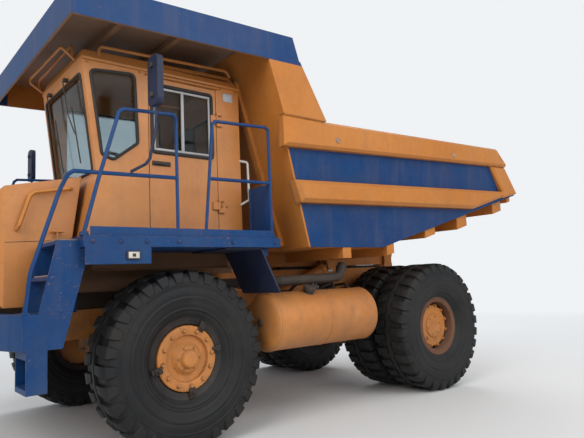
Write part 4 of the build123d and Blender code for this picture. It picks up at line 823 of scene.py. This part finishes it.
def corners(low, high, foot, head):
    """The four corners of an upright window, as places along the wall and heights."""
    return (low, foot), (high, foot), (high, head), (low, head)


def seal(name, outline, thick, body="chassis", bend=0.05):
    """A rubber seal round an opening, half sunk in the panel."""
    tubes(name, [rounded(outline, bend, True)], thick, rubber_seal, body, True)


quarter = ((-2.809, 3.420), (-2.395, 3.455), (-2.368, 2.800), (-2.600, 2.620), (-2.707, 2.655))
screen = corners(0.275, 1.325, 2.510, screen_top_z)
seal("windscreen_seal", [(x, screen_y(z) - 0.002, z) for x, z in screen], 0.013)
seal("quarter_seal_left", [(cab_side_x + 0.002, y, z) for y, z in quarter], 0.015)
seal("right_window_seal", [(0.198, y, z) for y, z in corners(-2.650, -1.560, 2.650, 3.400)], 0.016)
seal("rear_window_seal", [(x, -1.226, z) for x, z in corners(0.430, 1.180, 2.750, 3.350)], 0.014)
door_window = corners(-2.225, -1.565, 2.735, 3.400)
seal("door_window_seal", [(cab_side_x + 0.002, y, z) for y, z in door_window], 0.017, "door", 0.04)
# Bars of the sliding window's frame. Columns: low corner, high corner
sash_bars = (
    ((1.385, -2.205, 2.755), (1.400, -2.185, 3.380)), ((1.385, -1.605, 2.755), (1.400, -1.585, 3.380)),
    ((1.388, -1.915, 2.755), (1.406, -1.885, 3.380)), ((1.385, -2.205, 2.755), (1.402, -1.585, 2.778)),
    ((1.385, -2.205, 3.358), (1.402, -1.585, 3.380)),
)
sash = bmesh.new()
for low, high in sash_bars:
    slab(sash, low, high, 0.003)
piece("door_window_sash", sash, aluminium, "door")
fittings = bmesh.new()
slab(fittings, (cab_side_x, -2.230, 2.605), (1.408, -2.040, 2.650), 0.003)
slab(fittings, (1.414, -2.215, 2.615), (1.432, -2.085, 2.640), 0.006)
for y in (-2.215, -2.105):
    slab(fittings, (1.404, y, 2.617), (1.420, y + 0.020, 2.638), 0.003)
turned(fittings, ((0, 0), (0, 0.012), (0.010, 0.012), (0.010, 0)), (cab_side_x, -2.060, 2.628), (1, 0, 0), 20)
piece("door_handle", fittings, black_iron, "door")
drip = bmesh.new()
slab(drip, (1.398, -2.290, 3.474), (1.425, -1.480, 3.486), 0.004)
slab(drip, (1.398, -2.262, 1.980), (1.416, -1.508, 1.996), 0.003)
piece("door_drip_strips", drip, cab_paint)
bare_plate = bmesh.new()
slab(bare_plate, (cab_side_x, -1.425, 3.365), (1.4045, -1.305, 3.455), 0.002)
piece("cab_plate", bare_plate, aluminium)
roof_runs = [rounded(run, 0.05) for run in (
    ((1.360, -2.718, 3.560), (1.360, -2.718, 3.617), (1.350, -2.701, 3.676), (1.350, -1.336, 3.727),
     (1.350, -1.300, 3.660)),
    ((0.240, -2.718, 3.560), (0.240, -2.701, 3.676), (0.240, -1.336, 3.727), (0.240, -1.300, 3.660)),
)]
tubes("roof_rails", roof_runs, 0.016, cab_paint)
handle_run = rounded(
    ((1.395, -1.240, 2.748), (1.430, -1.158, 2.734), (1.430, -1.151, 2.332), (1.395, -1.240, 2.276)), 0.03)
tubes("rear_grab_handle", [handle_run], 0.013, white_plate)
visor_runs = [rounded(run, 0.03) for run in (
    ((0.154, -2.872, 3.560), (0.154, -2.995, 3.640), (0.154, -2.995, 3.690), (1.191, -2.995, 3.660),
     (1.191, -2.872, 3.560)),
    ((0.060, -2.870, 3.600), (0.060, -2.885, 3.720), (1.140, -2.885, 3.720), (1.140, -2.870, 3.600)),
)]
tubes("visor_frame", visor_runs, 0.014, cab_paint)
wiper_places = (0.48, 0.98)
# Points down a wiper's arm and blade. Columns: distance from its spindle, height, gap to the glass
arm_points = ((0.02, 3.10, 0.045), (0.12, 2.90, 0.040))
blade_points = ((0.10, 3.15, 0.030), (0.15, 2.62, 0.030))
wiper_runs = []
spindles = bmesh.new()
for spindle_x in wiper_places:
    arm, blade = ([(spindle_x + aside, screen_y(z) - gap, z) for aside, z, gap in points]
                  for points in (arm_points, blade_points))
    wiper_runs += [[(spindle_x, screen_y(screen_top_z) - 0.050, screen_top_z + 0.02)] + arm, blade]
    slab(spindles, (spindle_x - 0.020, screen_y(3.42) - 0.045, 3.415),
         (spindle_x + 0.020, screen_y(3.42), 3.450), 0.006)
tubes("wipers", wiper_runs, 0.006, black_iron)
piece("wiper_spindles", spindles, black_iron)
panel_bolts = [(y, z) for y in (-2.84, -2.34, -1.45, -1.27) for z in (1.96, 3.49)]
bracket_bolts = [(y, z) for z in (2.25, 3.15) for y in (-1.47, -1.41)]
cab_bolts = bmesh.new()
for y, z in panel_bolts + bracket_bolts:
    bolt(cab_bolts, (cab_side_x, y, z), (1, 0, 0), 0.009, 0.008)
piece("cab_bolts", cab_bolts, cab_paint)

# Cab interior
# A sprung seat of foam in woven cover, bolted through its bellows to the cab's floor; a thin-rimmed wheel
# on its column; a dark moulded dash with three gauges.
cloth, cloth_tree, cloth_shader = new_material("seat_cover", {"Roughness": 0.85})
cloth_at = own_place(cloth_tree)
cloth_dark = (0.020, 0.021, 0.024, 1)
cloth_pale = (0.050, 0.050, 0.054, 1)
cloth_colour = blend_colour(cloth_tree, noise(cloth_tree, cloth_at, 7, 5), cloth_dark, cloth_pale)
cloth_tree.links.new(cloth_colour, cloth_shader.inputs["Base Color"])
weave = put(cloth_tree, "ShaderNodeTexVoronoi", {"Vector": cloth_at, "Scale": 240.0})
bumps(cloth_tree, cloth_shader, weave.outputs["Distance"], 0.4, 0.002)
dash_black = painted(
    "dash_black", paint=(0.022, 0.022, 0.024, 1), faded=(0.04, 0.038, 0.036, 1),
    dirt_amount=0.25, low_dirt=0, wear=0.1, plain_roughness=0.6, coat=0, bump=0.2)
dress(dash_black, "controls")
cushion_cuts = 22
corner_rounding, corner_easing = 0.42, 0.3
seam_depth, seam_width, seam_places = 0.010, 0.05, (-0.38, 0.38)


def cushion(name, low, high, crown, tilt=0.0):
    """A padded block: crowned faces, a pinched seam round it and two sewn lines across."""
    data = bmesh.new()
    low, high = Vector(low), Vector(high)
    middle, half = (low + high) / 2, (high - low) / 2
    lies_flat = half.z < half.y
    out = Vector((0, 0, 1)) if lies_flat else Vector((0, -1, 0))
    bmesh.ops.create_cube(data, size=2.0)
    bmesh.ops.subdivide_edges(data, edges=data.edges[:], cuts=cushion_cuts, use_grid_fill=True)
    turn = Matrix.Rotation(tilt, 3, "X")
    for vertex in data.verts:
        u, v, w = vertex.co
        soft = [value * math.sqrt(max(1 - (a * a + b * b) / 2 * corner_rounding
                                      + a * a * b * b / 3 * corner_easing, 0))
                for value, a, b in ((u, v, w), (v, w, u), (w, u, v))]
        swell = crown * (1 - max(abs(u), abs(v if lies_flat else w)) ** 6)
        groove = seam_depth * sum(math.exp(-((u - place) / seam_width) ** 2) for place in seam_places)
        facing_out = max(0.0, w if lies_flat else -v)
        shaped = Vector([soft[i] * half[i] for i in range(3)]) + out * facing_out * (swell - groove)
        vertex.co = middle + turn @ shaped
    made = piece(name, data, cloth, sharp=60)
    return made


seat_pieces = [
    cushion("seat_cushion", (0.550, -2.120, 2.285), (1.050, -1.600, 2.415), 0.020),
    cushion("seat_back", (0.565, -1.655, 2.400), (1.035, -1.545, 3.020), 0.018, -0.175),
    cushion("seat_headrest", (0.670, -1.570, 3.015), (0.930, -1.490, 3.185), 0.010, -0.10),
]
pedestal = bmesh.new()
slab(pedestal, (0.640, -2.020, 1.935), (0.960, -1.690, 1.985), 0.008)
for fold in range(5):
    slab(pedestal, (0.655, -2.005, 1.985 + 0.050 * fold), (0.945, -1.705, 2.030 + 0.050 * fold), 0.018)
slab(pedestal, (0.600, -2.070, 2.235), (1.000, -1.640, 2.290), 0.010)
seat_pieces.append(piece("seat_pedestal", pedestal, dash_black))
for part in seat_pieces:
    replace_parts(part, "seat")
wheel_centre = Vector((0.800, -2.280, 2.695))
wheel_axis = Vector((0, 0.55, 0.83))
wheel_radius, grip_radius = 0.215, 0.013
grip = []
for step in range(11):
    angle = 2 * math.pi * step / 10
    grip.append((grip_radius * math.sin(angle), wheel_radius + grip_radius * math.cos(angle)))
steering = bmesh.new()
turned(steering, grip, wheel_centre, wheel_axis, 48)
turned(steering, ((-0.02, 0.0), (-0.02, 0.045), (0.014, 0.040), (0.020, 0.0)), wheel_centre, wheel_axis, 24)
piece("steering_wheel", steering, dash_black)
dial_profile = ((0, 0), (0, 0.045), (0.012, 0.045), (0.012, 0.038), (0.008, 0.036), (0.008, 0))
dials = bmesh.new()
for x in (0.66, 0.80, 0.94):
    turned(dials, dial_profile, (x, -2.552, 2.560), (0, 0.85, 0.52), 28)
piece("dials", dials, aluminium)

# Handrails and mirrors
# Bent steel tube with welded mid rails and foot plates, bolted to the deck; mirrors in dark blue
# housings on a tube arm with clamp blocks. The rail that lies on the nose is orange.
nose_rail_x = 1.300
railing = painted("railing", **railing_values)
rail_tree = railing.node_tree
rail_place = put(rail_tree, "ShaderNodeSeparateXYZ", {0: own_place(rail_tree)})
rail_out = math_of(rail_tree, "ABSOLUTE", rail_place.outputs["X"])
on_nose = math_of(rail_tree, "LESS_THAN", rail_out, nose_rail_x)
for label, outer, inner in (("Paint", blue, orange), ("Faded", blue_faded, orange_faded)):
    both = blend_colour(rail_tree, on_nose, outer, inner)
    rail_tree.links.new(both, rail_tree.nodes["paint"].inputs[label])
dress(railing, "handrails")
dress(dark_guard, "mirrors")
rail_feet = bmesh.new()
for x in (1.800, -1.800):
    for y in (-3.002, -2.182, -1.902, -1.150):
        boss(rail_feet, (x, y, 1.890), (0, 0, 1), 0.040, 0.010, 0.014, 0.022)
        for aside in (0.026, -0.026):
            bolt(rail_feet, (x + aside, y, 1.900), (0, 0, 1), 0.006, 0.008, 1.2)
piece("rail_feet", rail_feet, rail_blue)
end_panel = bmesh.new()
slab(end_panel, (1.465, -1.162, 1.905), (1.790, -1.154, 2.440), 0.002)
slab(end_panel, (1.465, -1.180, 1.905), (1.473, -1.154, 2.440), 0.002)
slab(end_panel, (1.465, -1.180, 1.888), (1.790, -1.130, 1.906), 0.003)
piece("rail_end_panel", end_panel, blue_steel)
mirror_x = 1.960
mirror_faces = bmesh.new()
mirror_clamps = bmesh.new()
for side in (1, -1):
    x = side * mirror_x
    slab(mirror_faces, (x - 0.078, -2.4215, 3.010), (x + 0.078, -2.4185, 3.410), 0.001)
    for z in (3.080, 3.340):
        slab(mirror_clamps, (x - 0.024, -2.500, z - 0.020), (x + 0.024, -2.470, z + 0.020), 0.005)
piece("mirror_faces", mirror_faces, chrome)
piece("mirror_clamps", mirror_clamps, black_iron)

# Dump body
# Welded plate with pressed rails and bands. The rails, bands, canopy underside and front wall are
# orange, the panels between them and the canopy's face are blue, and rock has scoured the inside.
# The canopy's underside and the ribs under it are greyed towards the scoured colour: painted shade.
wall_low_x = 1.745
wall_slope = 0.0853
floor_z = 1.812
# Each set's colours: fresh, faded, worn through
orange_set = (orange, orange_faded, (0.12, 0.060, 0.035, 1))
blue_set = (blue, blue_faded, (0.26, 0.125, 0.060, 1))
# The last set is rock-scoured steel, and also the grey put under the canopy as painted shade
scour_and_shade_set = ((0.20, 0.165, 0.135, 1), (0.13, 0.100, 0.080, 1), (0.30, 0.27, 0.24, 1))


def zoned(name, inside, zone=None, first=orange_set, second=blue_set):
    """Paint scoured inside and greyed as painted shade where asked, in two colours if it has a zone; both
    give a share of their colour.
    """
    material = painted(name, dirt_amount=0.15, low_dirt=0, streaks=0.22, wear=0.5, dirt=(0.15, 0.10, 0.07, 1),
                       coat=0.03, bump=0.4, specular=0.18)
    tree = material.node_tree
    spots = put(tree, "ShaderNodeTexCoord")
    place = put(tree, "ShaderNodeSeparateXYZ", {0: spots.outputs["Object"]}).outputs
    normal = put(tree, "ShaderNodeSeparateXYZ", {0: spots.outputs["Normal"]}).outputs
    share = zone(tree, place, normal) if zone else 0.0
    # Share of the scoured grey: real scouring inside, painted shade under the canopy
    scour_and_shade = inside(tree, place, normal)
    for label, near, far, bare in zip(("Paint", "Faded", "Bare"), first, second, scour_and_shade_set):
        both = blend_colour(tree, share, near, far)
        tree.links.new(blend_colour(tree, scour_and_shade, both, bare), tree.nodes["paint"].inputs[label])
    return material


def from_wall(tree, place):
    """How far a point stands outside the side wall's outer face."""
    across = math_of(tree, "ABSOLUTE", place["X"])
    lean = times(tree, math_of(tree, "SUBTRACT", place["Z"], floor_z), wall_slope)
    return math_of(tree, "SUBTRACT", math_of(tree, "SUBTRACT", across, wall_low_x), lean)


def side_zone(tree, place, normal):
    """One on the rails, bands and posts that stand out from the wall, nought on the wall."""
    proud = spread(tree, from_wall(tree, place), 0.006, 0.008)
    front_edge = math_of(tree, "ADD", place["Y"], times(tree, place["Z"], 0.3072))
    return math_of(tree, "MAXIMUM", proud, math_of(tree, "LESS_THAN", front_edge, -0.052))


def side_inside(tree, place, normal):
    """One on the wall's inner face."""
    return spread(tree, from_wall(tree, place), -0.010, -0.016)


def canopy_zone(tree, place, normal):
    """One on the canopy's outward faces and front, nought on its underside and the front wall."""
    level = [math_of(tree, "ABSOLUTE", normal[axis]) for axis in ("X", "Y")]
    steep = math_of(tree, "GREATER_THAN", math_of(tree, "MAXIMUM", *level), 0.6)
    on_edge = math_of(tree, "GREATER_THAN", math_of(tree, "ABSOLUTE", place["X"]), 1.895)
    ahead = math_of(tree, "LESS_THAN", place["Y"], -3.02)
    face = times(tree, steep, math_of(tree, "MAXIMUM", on_edge, ahead))
    foot = times(tree, math_of(tree, "ADD", place["Y"], 3.145), 0.032)
    above = math_of(tree, "SUBTRACT", math_of(tree, "SUBTRACT", place["Z"], 3.636), foot)
    return times(tree, face, math_of(tree, "GREATER_THAN", above, 0.0))


def canopy_scour_and_shade(tree, place, normal):
    """Most of the way to scoured on the front wall's face towards the load; the same grey under the canopy is
    painted shade.
    """
    rearward = math_of(tree, "GREATER_THAN", normal["Y"], 0.5)
    load_face = times(tree, rearward, math_of(tree, "LESS_THAN", place["Z"], 3.60))
    # Faces looking down under the canopy take the scoured grey as painted shade
    under = math_of(tree, "LESS_THAN", normal["Z"], -0.7)
    return times(tree, math_of(tree, "MAXIMUM", load_face, under), 0.75)


def floor_inside(tree, place, normal):
    """One on the floor's upper face."""
    return math_of(tree, "GREATER_THAN", normal["Z"], 0.3)


def ribs_painted_shade(tree, place, normal):
    """Most of the way to the scoured grey on the ribs under the canopy, as painted shade."""
    return times(tree, math_of(tree, "GREATER_THAN", place["Z"], 3.62), 0.65)


side_paint = zoned("body_side_paint", side_inside, side_zone, blue_set, orange_set)
dress(side_paint, "body_sides")
dress(zoned("canopy_paint_and_shade", canopy_scour_and_shade, canopy_zone), "body_canopy")
dress(zoned("floor_paint", floor_inside), "body_floor")
dress(zoned("rib_paint_and_shade", ribs_painted_shade), "body_ribs")
dress(chassis_paint, "body_underframe")
plug_profile = (
    (0, 0), (0, 0.032), (0.006, 0.032), (0.009, 0.028), (0.009, 0.012), (0.005, 0.008), (0.005, 0),
)
plugs = bmesh.new()
for side in (1, -1):
    for y, z in ((-0.288, 2.971), (1.875, 3.040)):
        turned(plugs, plug_profile, (side * 1.930, y, z), (side, 0, 0), 24)
piece("rail_plugs", plugs, worn_steel, "dump_body")
# Welds under the rail and under the band. Columns: y, z
weld_lines = (
    ((-0.990, 2.828), (0.4, 2.898), (1.6, 2.950), (2.800, 2.992)),
    ((-0.800, 2.262), (2.340, 2.343), (3.050, 2.530)),
)
welds = []
for side in (1, -1):
    for line in weld_lines:
        welds.append([(side * (wall_low_x + wall_slope * (z - floor_z) + 0.001), y, z) for y, z in line])
tubes("wall_welds", welds, 0.006, side_paint, "dump_body")
shoulder_run = ((1.914, -1.028, 3.158), (1.914, -0.450, 3.164))
tubes("shoulder_joint", [shoulder_run], 0.011, tank_paint, "dump_body")

# Hoist cylinders
# Painted barrels with glands and ground chrome rods. Greased pins hold the barrels' eyes to the frame
# and the rods' eyes to brackets under the load body.
dress(tank_paint, "hoist_barrel_left", "hoist_barrel_right")
dress(chrome, "hoist_rod_left", "hoist_rod_right")
